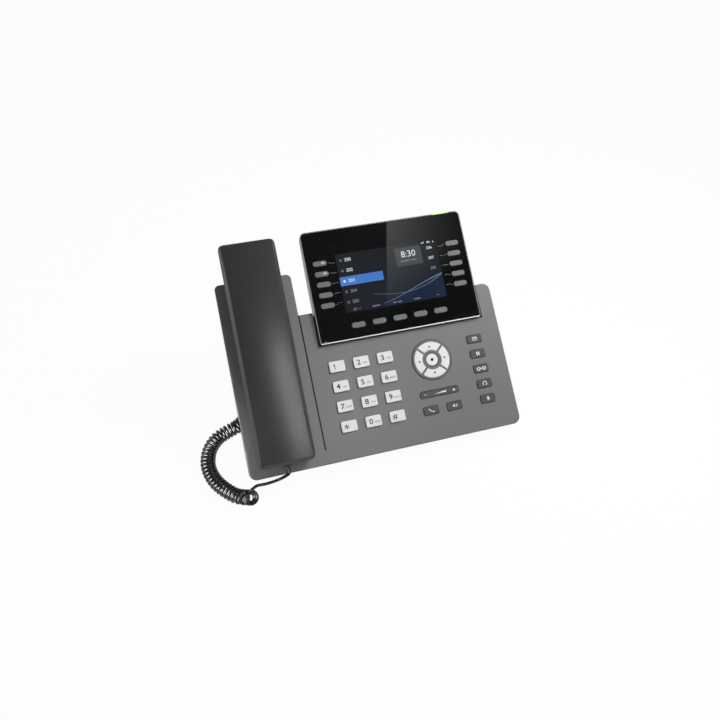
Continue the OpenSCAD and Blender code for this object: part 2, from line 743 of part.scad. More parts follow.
module nav_pad() color(c_line) on_face() translate([nav_u, nav_v, 0]) difference() {
    translate([0, 0, -2.8]) rotate_extrude() difference() {
        polygon(soft_edge(nav_r, 2.8 + nav_proud, 0.8));
        translate([0, -1]) square([ok_hole_r, 10]);
    }
    translate([0, 0, nav_proud - 0.6]) linear_extrude(2) segments(0.1);
}

module nav_segments() color(c_key) on_face()
    translate([nav_u, nav_v, nav_proud - 0.6]) linear_extrude(0.9) segments(0);

module key_ok() color(c_key) on_face() translate([nav_u, nav_v, -4]) {
    rotate_extrude() polygon(soft_edge(ok_r, 4 + nav_proud + 0.1, 0.6));
    cylinder(r = 7.4, h = 0.8);
}

// ---- hook switch and rest tab ----

module hook_switch() color(c_dark) on_face() translate([hs_u, ear_v - 8, 0]) {
    translate([0, 0, hook_w0]) linear_extrude(-well_d - seat - hook_w0)
        rounded(hook_w, hook_l, 0.8);
    translate([0, 0, hook_w0]) linear_extrude(1.2) rounded(hook_w + 4, hook_l + 4, 1.5);
}
hook_w0 = -well_d - well_floor - hook_travel - seat - 1.2;

module rest_tab() color(c_body) on_face()
    translate([hs_u - tab_w / 2, tab_v - tab_l / 2, -tab_t - seat])
        cube([tab_w, tab_l, tab_t]);

// ---- feet, stand and sockets ----

function toe_y(i) = stand_y - stand_toe * i;

module rubber_feet() color(c_dark) {
    for (s = [-1, 1]) translate([s * foot_x, face_y + side(shell_inset, -sole_w)[0] + sole_l / 2 + 0.5, 0])
        cylinder(r = foot_r, h = foot_h);
    for (s = [-1, 1]) translate([s * (stand_w / 2 - 12), face_y + stand_y - stand_toe / 2, 0])
        cylinder(r = foot_r, h = foot_h);
}

// Easel stand: side cheeks, a leaning back wall, a toe and a pad against the body
module stand() color(c_rear) {
    up = side(stand_v1, -body_t);
    low = side(stand_v0, -body_t);
    for (s = [-1, 0, 1]) translate([s * (stand_w - stand_t) / 2, 0, 0]) across(stand_t)
        polygon([up, low, [toe_y(1), foot_h], [toe_y(0), foot_h]]);
    across(stand_w) polygon([up, side(stand_v1 - stand_t * 1.6, -body_t),
        [toe_y(0) - stand_t, foot_h], [toe_y(0), foot_h]]);
    across(stand_w) polygon([[toe_y(1), foot_h], [toe_y(0), foot_h],
        [toe_y(0), foot_h + stand_t], [toe_y(1), foot_h + stand_t]]);
    across(stand_w) polygon([low, side(stand_v0 + 14, -body_t),
        side(stand_v0 + 14, -body_t - stand_t), side(stand_v0 + 1.2, -body_t - stand_t)]);
}

module socket_cut(w, h) translate([-w / 2, -1, -h / 2]) cube([w, socket_l + 1, h]);

module socket_block() color(c_dark) on_face() difference() {
    translate([-port_w / 2 + 0.2, port_v, block_w0])
        cube([port_w - 0.4, port_l, block_w1 - block_w0]);
    translate([ports[0], port_v, socket_w]) socket_cut(rj9_w, rj9_h);
    translate([ports[1], port_v, socket_w]) socket_cut(rj9_w, rj9_h);
    translate([ports[2], port_v, socket_w]) socket_cut(rj45_w, rj45_h);
    translate([ports[3], port_v, socket_w]) socket_cut(rj45_w, rj45_h);
    translate([ports[4], port_v, socket_w]) rotate([-90, 0, 0]) difference() {
        translate([0, 0, -1]) cylinder(r = dc_r, h = socket_l + 1);
        translate([0, 0, 1.5]) cylinder(r = dc_pin_r, h = socket_l);
    }
}

module base_plug() color(c_dark) on_face()
    translate([ports[0] - rj9_w / 2 + plug_gap, port_v - 4, socket_w - rj9_h / 2 + plug_gap])
        cube([rj9_w - 2 * plug_gap, socket_l + 4, rj9_h - 2 * plug_gap]);

// ---- handset ----

// Both halves lie within this plan
module hs_plan(g, z0, z1) translate([0, 0, z0]) linear_extrude(z1 - z0)
    rounded_from(-hs_w / 2 + g, g, hs_w / 2 - g, hs_l - g, hs_corner_r - g / 2);

// Height of the crowned top at length s
function crown(s) = sqrt(crown_r * crown_r - (s - hs_l / 2) * (s - hs_l / 2)) - crown_r;
// Side view of the outer half: a crowned top between two bevelled ends
module hs_top_side() polygon(concat(
    [[0, -hs_top_t], [0, -hs_crown - hs_bevel_h]],
    [for (i = [0:14]) let (s = hs_bevel_w + (hs_l - 2 * hs_bevel_w) * i / 14) [s, crown(s)]],
    [[hs_l, -hs_crown - hs_bevel_h], [hs_l, -hs_top_t]]));

module handset_outer() color(c_handset) on_handset() difference() {
    intersection() {
        hs_plan(0, -hs_top_t, 1);
        translate([-hs_w, 0, 0]) rotate([90, 0, 90]) linear_extrude(2 * hs_w) hs_top_side();
        rotate([90, 0, 0]) translate([0, 0, -hs_l - 1]) linear_extrude(hs_l + 2) polygon([
            [-hs_w / 2, -hs_top_t], [-hs_w / 2, -hs_crown - hs_bevel_h],
            [-hs_w / 2 + hs_bevel_w, -hs_crown / 2], [-hs_w / 2 + hs_bevel_w + 4, 0],
            [hs_w / 2 - hs_bevel_w - 4, 0], [hs_w / 2 - hs_bevel_w, -hs_crown / 2],
            [hs_w / 2, -hs_crown - hs_bevel_h], [hs_w / 2, -hs_top_t]]);
    }
    // Hollow
    translate([0, 0, -hs_top_t - 1]) linear_extrude(hs_top_t - hs_crown - hs_bevel_h)
        rounded_from(-hs_w / 2 + hs_wall, hs_wall, hs_w / 2 - hs_wall, hs_l - hs_wall, hs_corner_r - 1);
}

// Inner half, whose ends become the earpiece and the mouthpiece
module hs_inner_block(g) difference() {
    intersection() {
        on_handset() hs_plan(g, -60, -hs_top_t);
        on_handset() rotate([90, 0, 0]) translate([0, 0, -hs_l - 1]) linear_extrude(hs_l + 2) polygon([
            [-hs_w / 2 + g, -hs_top_t + g], [hs_w / 2 - g, -hs_top_t + g],
            [hs_w / 2 - hs_draft - g, -40], [-hs_w / 2 + hs_draft + g, -40]]);
        across(body_w * 2) polygon([
            side(hs_v - 20, hs_under + 4 + g), side(hs_v + 4, hs_under + g),
            side(hs_v + hs_l * 0.84, hs_under + g),
            side(hs_v + hs_l + 4, hs_under + 14 + g), side(hs_v + hs_l + 8, far), side(hs_v - 20, far)]);
    }
    on_face() translate([hs_u, grip_v, arch_w]) rotate([0, 90, 0])
        cylinder(r = arch_r + g, h = 2 * hs_w, center = true, $fn = 128);
}

module handset_inner() color(c_handset) difference() {
    union() {
        difference() {
            hs_inner_block(0);
            difference() {
                hs_inner_block(hs_wall);
                on_handset() translate([-rj9_w / 2 - hs_wall, -1, plug_n - rj9_h / 2 - hs_wall])
                    cube([rj9_w + 2 * hs_wall, socket_l + 2 + hs_wall, rj9_h + 10]);
            }
            on_handset() translate([0, 0, -hs_top_t - hs_wall - 1]) linear_extrude(hs_wall + 3) difference() {
                rounded_from(-hs_w / 2 + hs_wall, hs_wall, hs_w / 2 - hs_wall, hs_l - hs_wall, hs_corner_r - 1);
                translate([0, 0]) square([rj9_w + 2 * hs_wall, 2 * (socket_l + 1 + hs_wall)], center = true);
            }
        }
        on_face() translate([hs_u, ear_v, -well_d + seat])
            cylinder(r = ear_cap_r, h = hs_under + well_d - seat + hs_wall);
        on_face() translate([hs_u, mouth_v, -well_d + seat])
            linear_extrude(hs_under + well_d - seat + hs_wall) rounded(mouth_cap_w, mouth_cap_h, 5);
    }
    // Sound holes
    on_face() translate([hs_u, ear_v + 2, -well_d - 1]) {
        cylinder(r = sound_r, h = 20);
        for (i = [0:sound_n - 1]) rotate([0, 0, 360 * i / sound_n]) translate([sound_ring, 0, 0])
            cylinder(r = sound_r, h = 20);
    }
    on_face() for (x = [-4, 0, 4]) translate([hs_u + x, mouth_v, -well_d - 1])
        cylinder(r = sound_r, h = 12);
    // Socket of the cord
    on_handset() translate([0, 0, plug_n]) socket_cut(rj9_w, rj9_h);
}

module handset_plug() color(c_dark) on_handset()
    translate([-rj9_w / 2 + plug_gap, -plug_out, plug_n - rj9_h / 2 + plug_gap])
        cube([rj9_w - 2 * plug_gap, socket_l + plug_out, rj9_h - 2 * plug_gap]);
plug_out = 3;

// ---- cord ----

// Where the cord leaves the handset's plug and the base's plug, and the way it leaves them
hs_exit = let (q = side2(hs_vw(-plug_out - 0.15, plug_n))) [hs_u, q[0], q[1]];
hs_away = [0, -cos(face_tilt + hs_rise), -sin(face_tilt + hs_rise)];
base_exit = let (q = side(port_v - 4.2, socket_w)) [ports[0], q[0], q[1]];
base_away = [0, -cos(face_tilt), -sin(face_tilt)];
coil_start = coil_route[0];
coil_end = coil_route[len(coil_route) - 1];
start_way = unit(coil_start - coil_route[1]);
end_way = unit(coil_end - coil_route[len(coil_route) - 2]);
// The straight cord meets the coil at the top of its first turn
rim_up = [0, 0, coil_d / 2 - cord_d / 2];
lead_route = concat([hs_exit, hs_exit + 5 * hs_away], lead_mid,
    [coil_start + rim_up + 1.7 * start_way]);
tail_route = concat([coil_end, coil_end + 5 * end_way], tail_mid,
    [base_exit + 6 * base_away, base_exit]);

module cord_lead() color(c_dark) translate([0, face_y, 0])
    tube(route(lead_route, 3), cord_d / 2, 8, [1, 0, 0]);
module cord_tail() color(c_dark) translate([0, face_y, 0])
    tube(route(tail_route, 3), cord_d / 2, 8);
module cord_coil() color(c_dark) translate([0, face_y, 0])
    tube(route(coil_route, 2), coil_d / 2, 12);

front_housing();
rear_housing();
display_housing();
display_glass();
lcd_panel();
display_trim();
message_lamp();
main_board();
keypad_mat();
rubber_feet();
stand();
socket_block();
rest_tab();
hook_switch();
handset_outer();
handset_inner();
handset_plug();
base_plug();
cord_lead();
cord_coil();
cord_tail();
dial_key(-1, 0);  // key_1
dial_key(0, 0);  // key_2
dial_key(1, 0);  // key_3
dial_key(-1, 1);  // key_4
dial_key(0, 1);  // key_5
dial_key(1, 1);  // key_6
dial_key(-1, 2);  // key_7
dial_key(0, 2);  // key_8
dial_key(1, 2);  // key_9
dial_key(-1, 3);  // key_star
dial_key(0, 3);  // key_0
dial_key(1, 3);  // key_hash
feature_key(0);  // key_message
feature_key(1);  // key_hold
feature_key(2);  // key_transfer
feature_key(3);  // key_headset
feature_key(4);  // key_mute
call_key(0);  // key_call
call_key(1);  // key_speaker
volume_rocker();
nav_gimbal();
nav_pad();
nav_segments();
key_ok();
line_key(-1, 0);  // line_l1
line_key(-1, 1);  // line_l2
line_key(-1, 2);  // line_l3
line_key(-1, 3);  // line_l4
line_key(-1, 4);  // line_l5
line_key(1, 0);  // line_r1
line_key(1, 1);  // line_r2
line_key(1, 2);  // line_r3
line_key(1, 3);  // line_r4
line_key(1, 4);  // line_r5
soft_key(0);  // soft_1
soft_key(1);  // soft_2
soft_key(2);  // soft_3
soft_key(3);  // soft_4
soft_key(4);  // soft_5
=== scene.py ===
"""Looks of a desk telephone with a raised display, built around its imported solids.

The frame of the part is loaded first. Each operator then adds one piece, or one group of
like pieces, or gives the solids their finishes. Lengths are in metres. Flat prints are
drawn in millimetres.
"""

import math

import bmesh
import bpy
from mathutils import Matrix, Vector


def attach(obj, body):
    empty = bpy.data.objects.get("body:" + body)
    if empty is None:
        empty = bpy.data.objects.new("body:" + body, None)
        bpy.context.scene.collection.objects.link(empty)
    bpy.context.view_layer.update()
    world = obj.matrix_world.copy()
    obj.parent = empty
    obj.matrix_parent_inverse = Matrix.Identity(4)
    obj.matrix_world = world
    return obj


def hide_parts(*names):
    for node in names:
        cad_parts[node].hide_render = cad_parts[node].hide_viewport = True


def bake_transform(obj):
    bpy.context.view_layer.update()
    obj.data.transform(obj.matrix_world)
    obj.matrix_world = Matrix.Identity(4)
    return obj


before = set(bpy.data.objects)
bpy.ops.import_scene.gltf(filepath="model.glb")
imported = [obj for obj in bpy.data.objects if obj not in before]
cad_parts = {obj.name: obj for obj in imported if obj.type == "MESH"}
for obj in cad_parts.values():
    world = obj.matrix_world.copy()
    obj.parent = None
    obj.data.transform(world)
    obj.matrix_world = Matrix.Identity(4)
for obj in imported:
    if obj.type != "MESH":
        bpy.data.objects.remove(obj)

bl_info = {
    "name": "Desk telephone looks",
    "version": (1, 0, 0),
    "blender": (4, 5, 0),
    "location": "View3D > Sidebar > Desk telephone",
    "description": "Adds the cord, prints, screen, small metal parts and finishes of a desk telephone",
    "category": "Object",
}

MM = 0.001


def lean(parent, x, y, z, degrees):
    """A plane set at x, y, z (mm) of its parent and leaned back by some degrees."""
    place = Matrix.Translation((x * MM, y * MM, z * MM))
    return parent @ place @ Matrix.Rotation(math.radians(degrees), 4, "X")


def turned(parent, x, y, z):
    """A direction given in a plane's own axes, with a length of 1."""
    return (parent.to_3x3() @ Vector((x, y, z))).normalized()


def aimed(spot, aim):
    """Turn of a camera or lamp at a spot that looks at its aim."""
    return (Vector(aim) - Vector(spot)).to_track_quat("-Z", "Y").to_euler()


# Planes of the part: its face, the display's glass and the top of the handset.
FACE_EDGE = -79.05162
FACE_TILT = 37.4
GLASS_TILT = 2.4
HANDSET_X = -91.3
FACE = lean(Matrix.Identity(4), 0, FACE_EDGE, 16, FACE_TILT)
GLASS = lean(FACE, 32.5, 103.9, 4, GLASS_TILT)
HANDSET = lean(FACE, HANDSET_X, 8, 22, 4)
CROWN_RADIUS = 0.15
GROOVE_X, GROOVE_LOW, GROOVE_HIGH = -56.8, 12.9, 133.2

# Places of the cord's two plugs, and where the camera stands and looks.
HANDSET_PLUG_Z = -0.0132
BASE_PLUG_X, BASE_PLUG_Z = -0.050, -0.019
EYE = Vector((-0.1081, -0.37515, 0.44765))
LOOKED_AT = Vector((-0.0109, -0.01215, 0.06715))

# Share of a font's size that a capital takes, and of the ink's thickness that a print is lifted by.
CAP_SHARE = 0.73
PRINT_LIFT = 0.3

# Thickness of the black sheets of painted shade in the gaps and the groove, and of a film of the picture.
SHADE_SHEET = 0.0003
FILM = 0.00001

# Dark ground of what is lit from behind, and the range of the glass's roughness.
UNLIT = (0.002, 0.002, 0.002)
GLASSY = (0.012, 0.03, 0.35, 0.65)

DIAL_KEYS = [
    ("key_1", "1", ""), ("key_2", "2", "ABC"), ("key_3", "3", "DEF"),
    ("key_4", "4", "GHI"), ("key_5", "5", "JKL"), ("key_6", "6", "MNO"),
    ("key_7", "7", "PQRS"), ("key_8", "8", "TUV"), ("key_9", "9", "WXYZ"),
    ("key_star", "*", ""), ("key_0", "0", "OPER"), ("key_hash", "#", ""),
]
LINE_KEYS = [f"line_{side}{row}" for side in "lr" for row in range(1, 6)]
SOFT_KEYS = [f"soft_{i}" for i in range(1, 6)]
FEATURE_KEYS = [f"key_{use}" for use in "message hold transfer headset mute call speaker".split()]


# ---- sizes and colours that a user would change ----


def length(name, description, default, low, high):
    return bpy.props.FloatProperty(
        name=name, description=description, default=default, min=low, max=high,
        unit="LENGTH", subtype="DISTANCE", precision=5,
    )


def level(name, description, default, high, **more):
    return bpy.props.FloatProperty(
        name=name, description=description, default=default, min=0, max=high, **more,
    )


def colour(name, description, default):
    return bpy.props.FloatVectorProperty(
        name=name, description=description, default=default, size=3, min=0, max=1, subtype="COLOR",
    )


class PhoneCordSizes(bpy.types.PropertyGroup):
    """Sizes of the curly handset cord."""

    wire: length("Wire", "Diameter of the round wire", 0.0027, 0.002, 0.0035)
    coil: length("Coil", "Outer diameter of the coil", 0.0135, 0.011, 0.0145)
    pitch: length("Pitch", "Distance from one turn of the coil to the next", 0.0037, 0.0032, 0.006)
    turn_points: bpy.props.IntProperty(
        name="Points per turn", description="Points of the line for each turn", default=16, min=12, max=24,
    )


class PhonePrintSizes(bpy.types.PropertyGroup):
    """Sizes of what is printed on the keys and the glass."""

    digit: length("Digits", "Height of a digit on a dial key", 0.0048, 0.003, 0.006)
    letters: length("Letters", "Height of the small letters on a dial key", 0.0017, 0.001, 0.0025)
    ink: length("Ink", "Thickness of the printed ink", 0.00004, 0.00002, 0.0001)
    tick: length("Ticks", "Width of the lines between a line key and the picture", 0.00035, 0.0002, 0.0006)


class PhoneScreenSizes(bpy.types.PropertyGroup):
    """Sizes of the picture under the glass."""

    width: length("Width", "Width of the picture", 0.09504, 0.09, 0.098)
    height: length("Height", "Height of the picture", 0.05386, 0.05, 0.056)
    centre: length("Centre", "Height of its centre above the glass's lower edge", 0.0499, 0.048, 0.052)
    glow: level("Glow", "Strength of the backlight", 1.0, 3)


class PhoneColours(bpy.types.PropertyGroup):
    """Colours of the mouldings, keys and screen."""

    body: colour("Body", "Front shell", (0.185, 0.188, 0.192))
    rear: colour("Rear", "Rear shell and stand", (0.060, 0.061, 0.063))
    handset: colour("Handset", "Both halves of the handset", (0.040, 0.041, 0.043))
    key_light: colour("Light keys", "Dial keys and navigation segments", (0.82, 0.825, 0.83))
    key_dark: colour("Dark keys", "Feature keys, call keys and volume rocker", (0.085, 0.086, 0.088))
    key_grey: colour("Display keys", "Line keys and soft keys", (0.150, 0.152, 0.155))
    glass: colour("Glass", "Black border behind the glass", (0.0045, 0.0047, 0.0052))
    rim: colour("Rim", "Painted rim of the display", (0.20, 0.205, 0.21))
    picture: colour("Picture", "Ground of the picture", (0.0105, 0.012, 0.0145))
    bar: colour("Chosen row", "Row of the picture that is chosen", (0.060, 0.190, 0.560))
    lamp: colour("Lamp", "Message lamp", (0.42, 0.80, 0.16))


class PhoneStageSizes(bpy.types.PropertyGroup):
    """Light and floor of the stage."""

    fill: level("Fill", "Level of the light from all round", 0.22, 1)
    key: level("Key light", "Power of the lamp above on the right", 2.4, 20, unit="POWER", subtype="POWER")
    floor: length("Floor", "Width of the floor", 6.0, 2, 12)


# ---- hands: selecting, shaping and setting pieces ----


def alone(piece):
    """Selects one piece only and makes it active."""
    bpy.ops.object.select_all(action="DESELECT")
    piece.select_set(True)
    bpy.context.view_layer.objects.active = piece


def start(name):
    """Names the piece that has just been added, and what it holds."""
    piece = bpy.context.object
    piece.name = name
    piece.data.name = name
    return piece


def cube(name, **place):
    bpy.ops.object.select_all(action="DESELECT")
    bpy.ops.mesh.primitive_cube_add(size=1, **place)
    return start(name)


def cylinder(name, points, radius, depth):
    bpy.ops.object.select_all(action="DESELECT")
    bpy.ops.mesh.primitive_cylinder_add(vertices=points, radius=radius, depth=depth)
    return start(name)


def plane(name, size, **place):
    bpy.ops.object.select_all(action="DESELECT")
    bpy.ops.mesh.primitive_plane_add(size=size, **place)
    return start(name)


def tuned(thing, **values):
    """Sets some values of a thing."""
    for key, value in values.items():
        setattr(thing, key, value)
    return thing


# Tests for the faces of a piece, by the middle and the normal of each.
TESTS = {
    "all": lambda c, n: True, "down": lambda c, n: n.z < -0.9, "up": lambda c, n: n.z > 0.9,
    "front": lambda c, n: n.y < -0.9, "latch": lambda c, n: n.z < -0.9 and c.y > 0,
}


def pick(piece, test):
    """In edit mode, selects the faces that pass a test, which is a named one or a function."""
    test = TESTS.get(test, test)
    alone(piece)
    bpy.ops.object.mode_set(mode="EDIT")
    bpy.ops.mesh.select_mode(type="FACE")
    bpy.ops.mesh.select_all(action="DESELECT")
    shape = bmesh.from_edit_mesh(piece.data)
    for face in shape.faces:
        face.select_set(test(face.calc_center_median(), face.normal))
    shape.select_flush_mode()
    bmesh.update_edit_mesh(piece.data)


def done(piece):
    bpy.ops.object.mode_set(mode="OBJECT")
    return piece


def drawn(piece, test, inset=None, step=None, size=None, shift=None):
    """Insets the faces that pass a test, draws them out by a step, then resizes and shifts them."""
    pick(piece, test)
    if inset:
        bpy.ops.mesh.inset(thickness=inset)
    if step:
        bpy.ops.mesh.extrude_region_move(TRANSFORM_OT_translate={"value": step})
    if size:
        bpy.ops.transform.resize(value=size)
    if shift:
        bpy.ops.transform.translate(value=shift)
    return done(piece)


def rounded(piece, test, width):
    """Rounds the edges of the faces that pass a test."""
    pick(piece, test)
    bpy.ops.mesh.bevel(offset=width, segments=3, affect="EDGES")
    return done(piece)


def outwards(piece):
    """Merges doubles and turns every face outwards."""
    alone(piece)
    bpy.ops.object.mode_set(mode="EDIT")
    bpy.ops.mesh.select_all(action="SELECT")
    bpy.ops.mesh.remove_doubles(threshold=0.000001)
    bpy.ops.mesh.normals_make_consistent(inside=False)
    return done(piece)


def softened(piece, width, segments=1, angle=30):
    """Bevels the edges of a piece that turn by more than an angle."""
    alone(piece)
    bpy.ops.object.modifier_add(type="BEVEL")
    tuned(piece.modifiers["Bevel"], width=width, segments=segments, angle_limit=math.radians(angle))
    bpy.ops.object.modifier_apply(modifier="Bevel")
    return outwards(piece)


def joined(pieces, name):
    """Joins pieces into the first."""
    alone(pieces[0])
    for piece in pieces[1:]:
        piece.select_set(True)
    if len(pieces) > 1:
        bpy.ops.object.join()
    return start(name)


def copied(piece, name):
    twin = piece.copy()
    twin.data = piece.data.copy()
    twin.name = name
    twin.data.name = name
    bpy.context.collection.objects.link(twin)
    return twin


def settled(piece, plane, x, y, z, turn=0.0):
    """Sets a piece modelled about the origin on a plane and puts its place into its mesh."""
    piece.matrix_world = plane @ Matrix.Translation((x, y, z)) @ Matrix.Rotation(math.radians(turn), 4, "Z")
    alone(piece)
    bpy.ops.object.transform_apply(location=True, rotation=True, scale=True)
    return piece


def dressed(piece, finish_name, body):
    """Gives a piece its finish, and makes it move with a body."""
    piece.data.materials.clear()
    piece.data.materials.append(finish(finish_name))
    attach(piece, body)
    return piece


def fitted(piece, plane, x, y, z, finish_name, body):
    """Settles a piece on a plane and dresses it."""
    return dressed(settled(piece, plane, x, y, z), finish_name, body)


def on_key(piece, node, finish_name, dx=0.0, dy=0.0, plane=FACE, body=None):
    """Sets a print on the top of a key, off its middle by some distance."""
    x, y, z = top_of(node, plane)
    lift = bpy.context.scene.phone_prints.ink * PRINT_LIFT
    return fitted(piece, plane, x + dx, y + dy, z + lift, finish_name, body or node)


def extent(node, plane, above=-1.0):
    """Lowest and highest corner of what a solid has above a level, in a plane's own axes."""
    back = plane.inverted()
    spots = [back @ v.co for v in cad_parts[node].data.vertices]
    spots = [p for p in spots if p.z > above]
    return [Vector([f(p[i] for p in spots) for i in range(3)]) for f in (min, max)]


def top_of(node, plane):
    """Middle of a key's top, in its plane."""
    low, high = extent(node, plane)
    return (low.x + high.x) / 2, (low.y + high.y) / 2, high.z


# ---- flat shapes for prints, in millimetres ----


def slab(w, h, r, x=0.0, y=0.0):
    """Rectangle with round corners."""
    r = min(r, w / 2 - 0.001, h / 2 - 0.001)
    loop = []
    for cx, cy, a in ((1, -1, -90), (1, 1, 0), (-1, 1, 90), (-1, -1, 180)):
        loop += arc(r, a, a + 90, x + cx * (w / 2 - r), y + cy * (h / 2 - r), 6)
    return loop


def disc(r, x=0.0, y=0.0, n=32):
    return arc(r, 0, 360, x, y, n)[:-1]


def arc(r, a0, a1, x=0.0, y=0.0, n=16):
    turns = [math.radians(a0 + (a1 - a0) * i / n) for i in range(n + 1)]
    return [(x + r * math.cos(t), y + r * math.sin(t)) for t in turns]


def stroke(line, width, end_width=None):
    """Outline of a line drawn with a pen."""
    end_width = width if end_width is None else end_width
    left, right = [], []
    for i, (x, y) in enumerate(line):
        ax, ay = line[max(i - 1, 0)]
        bx, by = line[min(i + 1, len(line) - 1)]
        size = math.hypot(bx - ax, by - ay)
        nx, ny = -(by - ay) / size, (bx - ax) / size
        half = (width + (end_width - width) * i / (len(line) - 1)) / 2
        left.append((x + nx * half, y + ny * half))
        right.append((x - nx * half, y - ny * half))
    return left + right[::-1]


def lines_of(name, lines, closed, **settings):
    """A mesh made of a curve through some lines of spots."""
    bpy.ops.object.select_all(action="DESELECT")
    bpy.ops.object.add(type="CURVE")
    part = start(name)
    tuned(part.data, **settings)
    for line in lines:
        run = part.data.splines.new("POLY")
        run.points.add(len(line) - 1)
        for point, spot in zip(run.points, line):
            point.co = (*spot, 1)
        run.use_cyclic_u = closed
    alone(part)
    bpy.ops.object.convert(target="MESH")
    return start(name)


def ink(name, shapes, thickness):
    """Flat print about the origin. Each shape is a list of loops, of which inner ones are holes."""
    parts = []
    for loops in shapes:
        flat = [[(x * MM, y * MM, 0) for x, y in loop] for loop in loops]
        parts.append(lines_of(name, flat, True, dimensions="2D", fill_mode="BOTH", extrude=thickness / 2))
    return outwards(joined(parts, name))


def words(name, text, height, thickness, weight=0.0, wide=1.0):
    """Printed characters about the origin, with the given cap height."""
    bpy.ops.object.select_all(action="DESELECT")
    bpy.ops.object.text_add()
    part = start(name)
    tuned(
        part.data, body=text, size=height / CAP_SHARE, align_x="CENTER", align_y="CENTER", offset=weight,
        extrude=thickness / 2, resolution_u=4,
    )
    part.scale.x = wide
    alone(part)
    bpy.ops.object.convert(target="MESH")
    bpy.ops.object.transform_apply(location=True, rotation=True, scale=True)
    return outwards(start(name))


# ---- finishes ----

VECTORS = ("Normal", "Edges", "Outward")


def fed(tree, node, inputs):
    """Gives a node its inputs: a socket is linked, and anything else is set as a value."""
    for key, value in inputs.items():
        if isinstance(value, bpy.types.NodeSocket):
            tree.links.new(value, node.inputs[key])
        else:
            node.inputs[key].default_value = value
    return node


def add(tree, kind, inputs=None, **settings):
    """A new shader node with its settings and inputs."""
    return fed(tree, tuned(tree.nodes.new("ShaderNode" + kind), **settings), inputs or {})


def maths(tree, operation, *values, kind="Math", out=0):
    """What a math node makes of its values."""
    return add(tree, kind, dict(enumerate(values)), operation=operation).outputs[out]


def dot(tree, a, b):
    return maths(tree, "DOT_PRODUCT", a, b, kind="VectorMath", out="Value")


def here(tree):
    return add(tree, "TexCoord").outputs["Object"]


def split(tree, vector):
    return add(tree, "SeparateXYZ", {0: vector}).outputs


def noise(tree, scale, detail=2):
    inputs = {"Vector": here(tree), "Scale": scale, "Detail": detail}
    return add(tree, "TexNoise", inputs).outputs["Fac"]


def ranged(tree, value, low, high, start_at=0.0, end_at=1.0):
    """A value carried from one range to another."""
    inputs = {"Value": value, "From Min": start_at, "From Max": end_at, "To Min": low, "To Max": high}
    return add(tree, "MapRange", inputs).outputs["Result"]


def mixed(tree, factor, a, b):
    """Mixes two colours, each a socket or three numbers."""
    pair = [v if isinstance(v, bpy.types.NodeSocket) else (*v, 1) for v in (a, b)]
    return add(tree, "Mix", {0: factor, 6: pair[0], 7: pair[1]}, data_type="RGBA").outputs[2]


def effect(name, inputs, *outputs):
    """Turns a function that fills a node group into one that gives the group, made when first asked for."""

    def keep(fill):
        def group():
            if name in bpy.data.node_groups:
                return bpy.data.node_groups[name]
            tree = bpy.data.node_groups.new(name, "ShaderNodeTree")
            for way, sockets in (("INPUT", inputs), ("OUTPUT", outputs)):
                for socket in sockets:
                    kind = "NodeSocketVector" if socket in VECTORS else "NodeSocketFloat"
                    made = tree.interface.new_socket(name=socket, in_out=way, socket_type=kind)
                    if way == "INPUT" and socket not in VECTORS:
                        made.default_value = inputs[socket]
            given = tree.nodes.new("NodeGroupInput").outputs
            fed(tree, tree.nodes.new("NodeGroupOutput"), fill(tree, given))
            return tree

        return group

    return keep


@effect("surface grain", {"Grains per metre": 1800.0, "Clouds per metre": 14.0}, "Height", "Cloud")
def surface_grain(tree, given):
    """Fine pebbled grain of a mould, and slow clouds over the whole moulding."""
    grains = given["Grains per metre"]
    inputs = {"Vector": here(tree), "Scale": grains}
    pebbles = add(tree, "TexVoronoi", inputs, feature="SMOOTH_F1").outputs["Distance"]
    height = maths(tree, "MULTIPLY_ADD", noise(tree, grains), 0.6, pebbles)
    return {"Height": height, "Cloud": noise(tree, given["Clouds per metre"], 3)}


@effect("softened edges, wear and shade", {"Radius": 0.0004}, "Normal", "Edge wear and shade")
def softened_edge_wear_shade(tree, given):
    """Edges softened as a mould leaves them, and a mask of the edges: finishes lighten them with it as wear,
    and the handset's finish darkens them with it as painted shade.
    """
    soft = add(tree, "Bevel", {"Radius": given["Radius"]}, samples=4).outputs["Normal"]
    sharp = add(tree, "NewGeometry").outputs["Normal"]
    bend = ranged(tree, dot(tree, soft, sharp), 0, 1, 0.995, 0.80)
    return {"Normal": soft, "Edge wear and shade": maths(tree, "MULTIPLY", bend, noise(tree, 160))}


@effect("crowned top", {"Middle": 0.0, "Radius": CROWN_RADIUS, "Edges": None, "Outward": None}, "Normal")
def crowned_top(tree, given):
    """Normal of a top crowned across its width: what nearly faces out is smoothed to one curve."""
    edges, outward = given["Edges"], given["Outward"]
    away = maths(tree, "SUBTRACT", split(tree, here(tree))["X"], given["Middle"])
    slope = maths(tree, "DIVIDE", away, given["Radius"])
    tilt = add(tree, "CombineXYZ", {"X": slope}).outputs[0]
    top = ranged(tree, dot(tree, edges, outward), 0, 1, 0.82, 0.88)
    base = add(tree, "Mix", {"Factor": top, 4: edges, 5: outward}, data_type="VECTOR").outputs[1]
    total = maths(tree, "ADD", base, tilt, kind="VectorMath")
    return {"Normal": maths(tree, "NORMALIZE", total, kind="VectorMath")}


@effect("settled dust", {"Cover": 0.15}, "Mask")
def settled_dust(tree, given):
    """Thin dust on what faces up."""
    facing = add(tree, "NewGeometry").outputs["Normal"]
    up = maths(tree, "MAXIMUM", split(tree, facing)["Z"], 0.0)
    specks = ranged(tree, noise(tree, 420, 5), 0, 1, 0.48, 0.78)
    lying = maths(tree, "MULTIPLY", specks, up)
    return {"Mask": maths(tree, "MULTIPLY", lying, given["Cover"])}


def blank(name):
    """A new material, its node tree and its shader."""
    material = bpy.data.materials.new(name)
    material.use_nodes = True
    return material, material.node_tree, material.node_tree.nodes["Principled BSDF"]


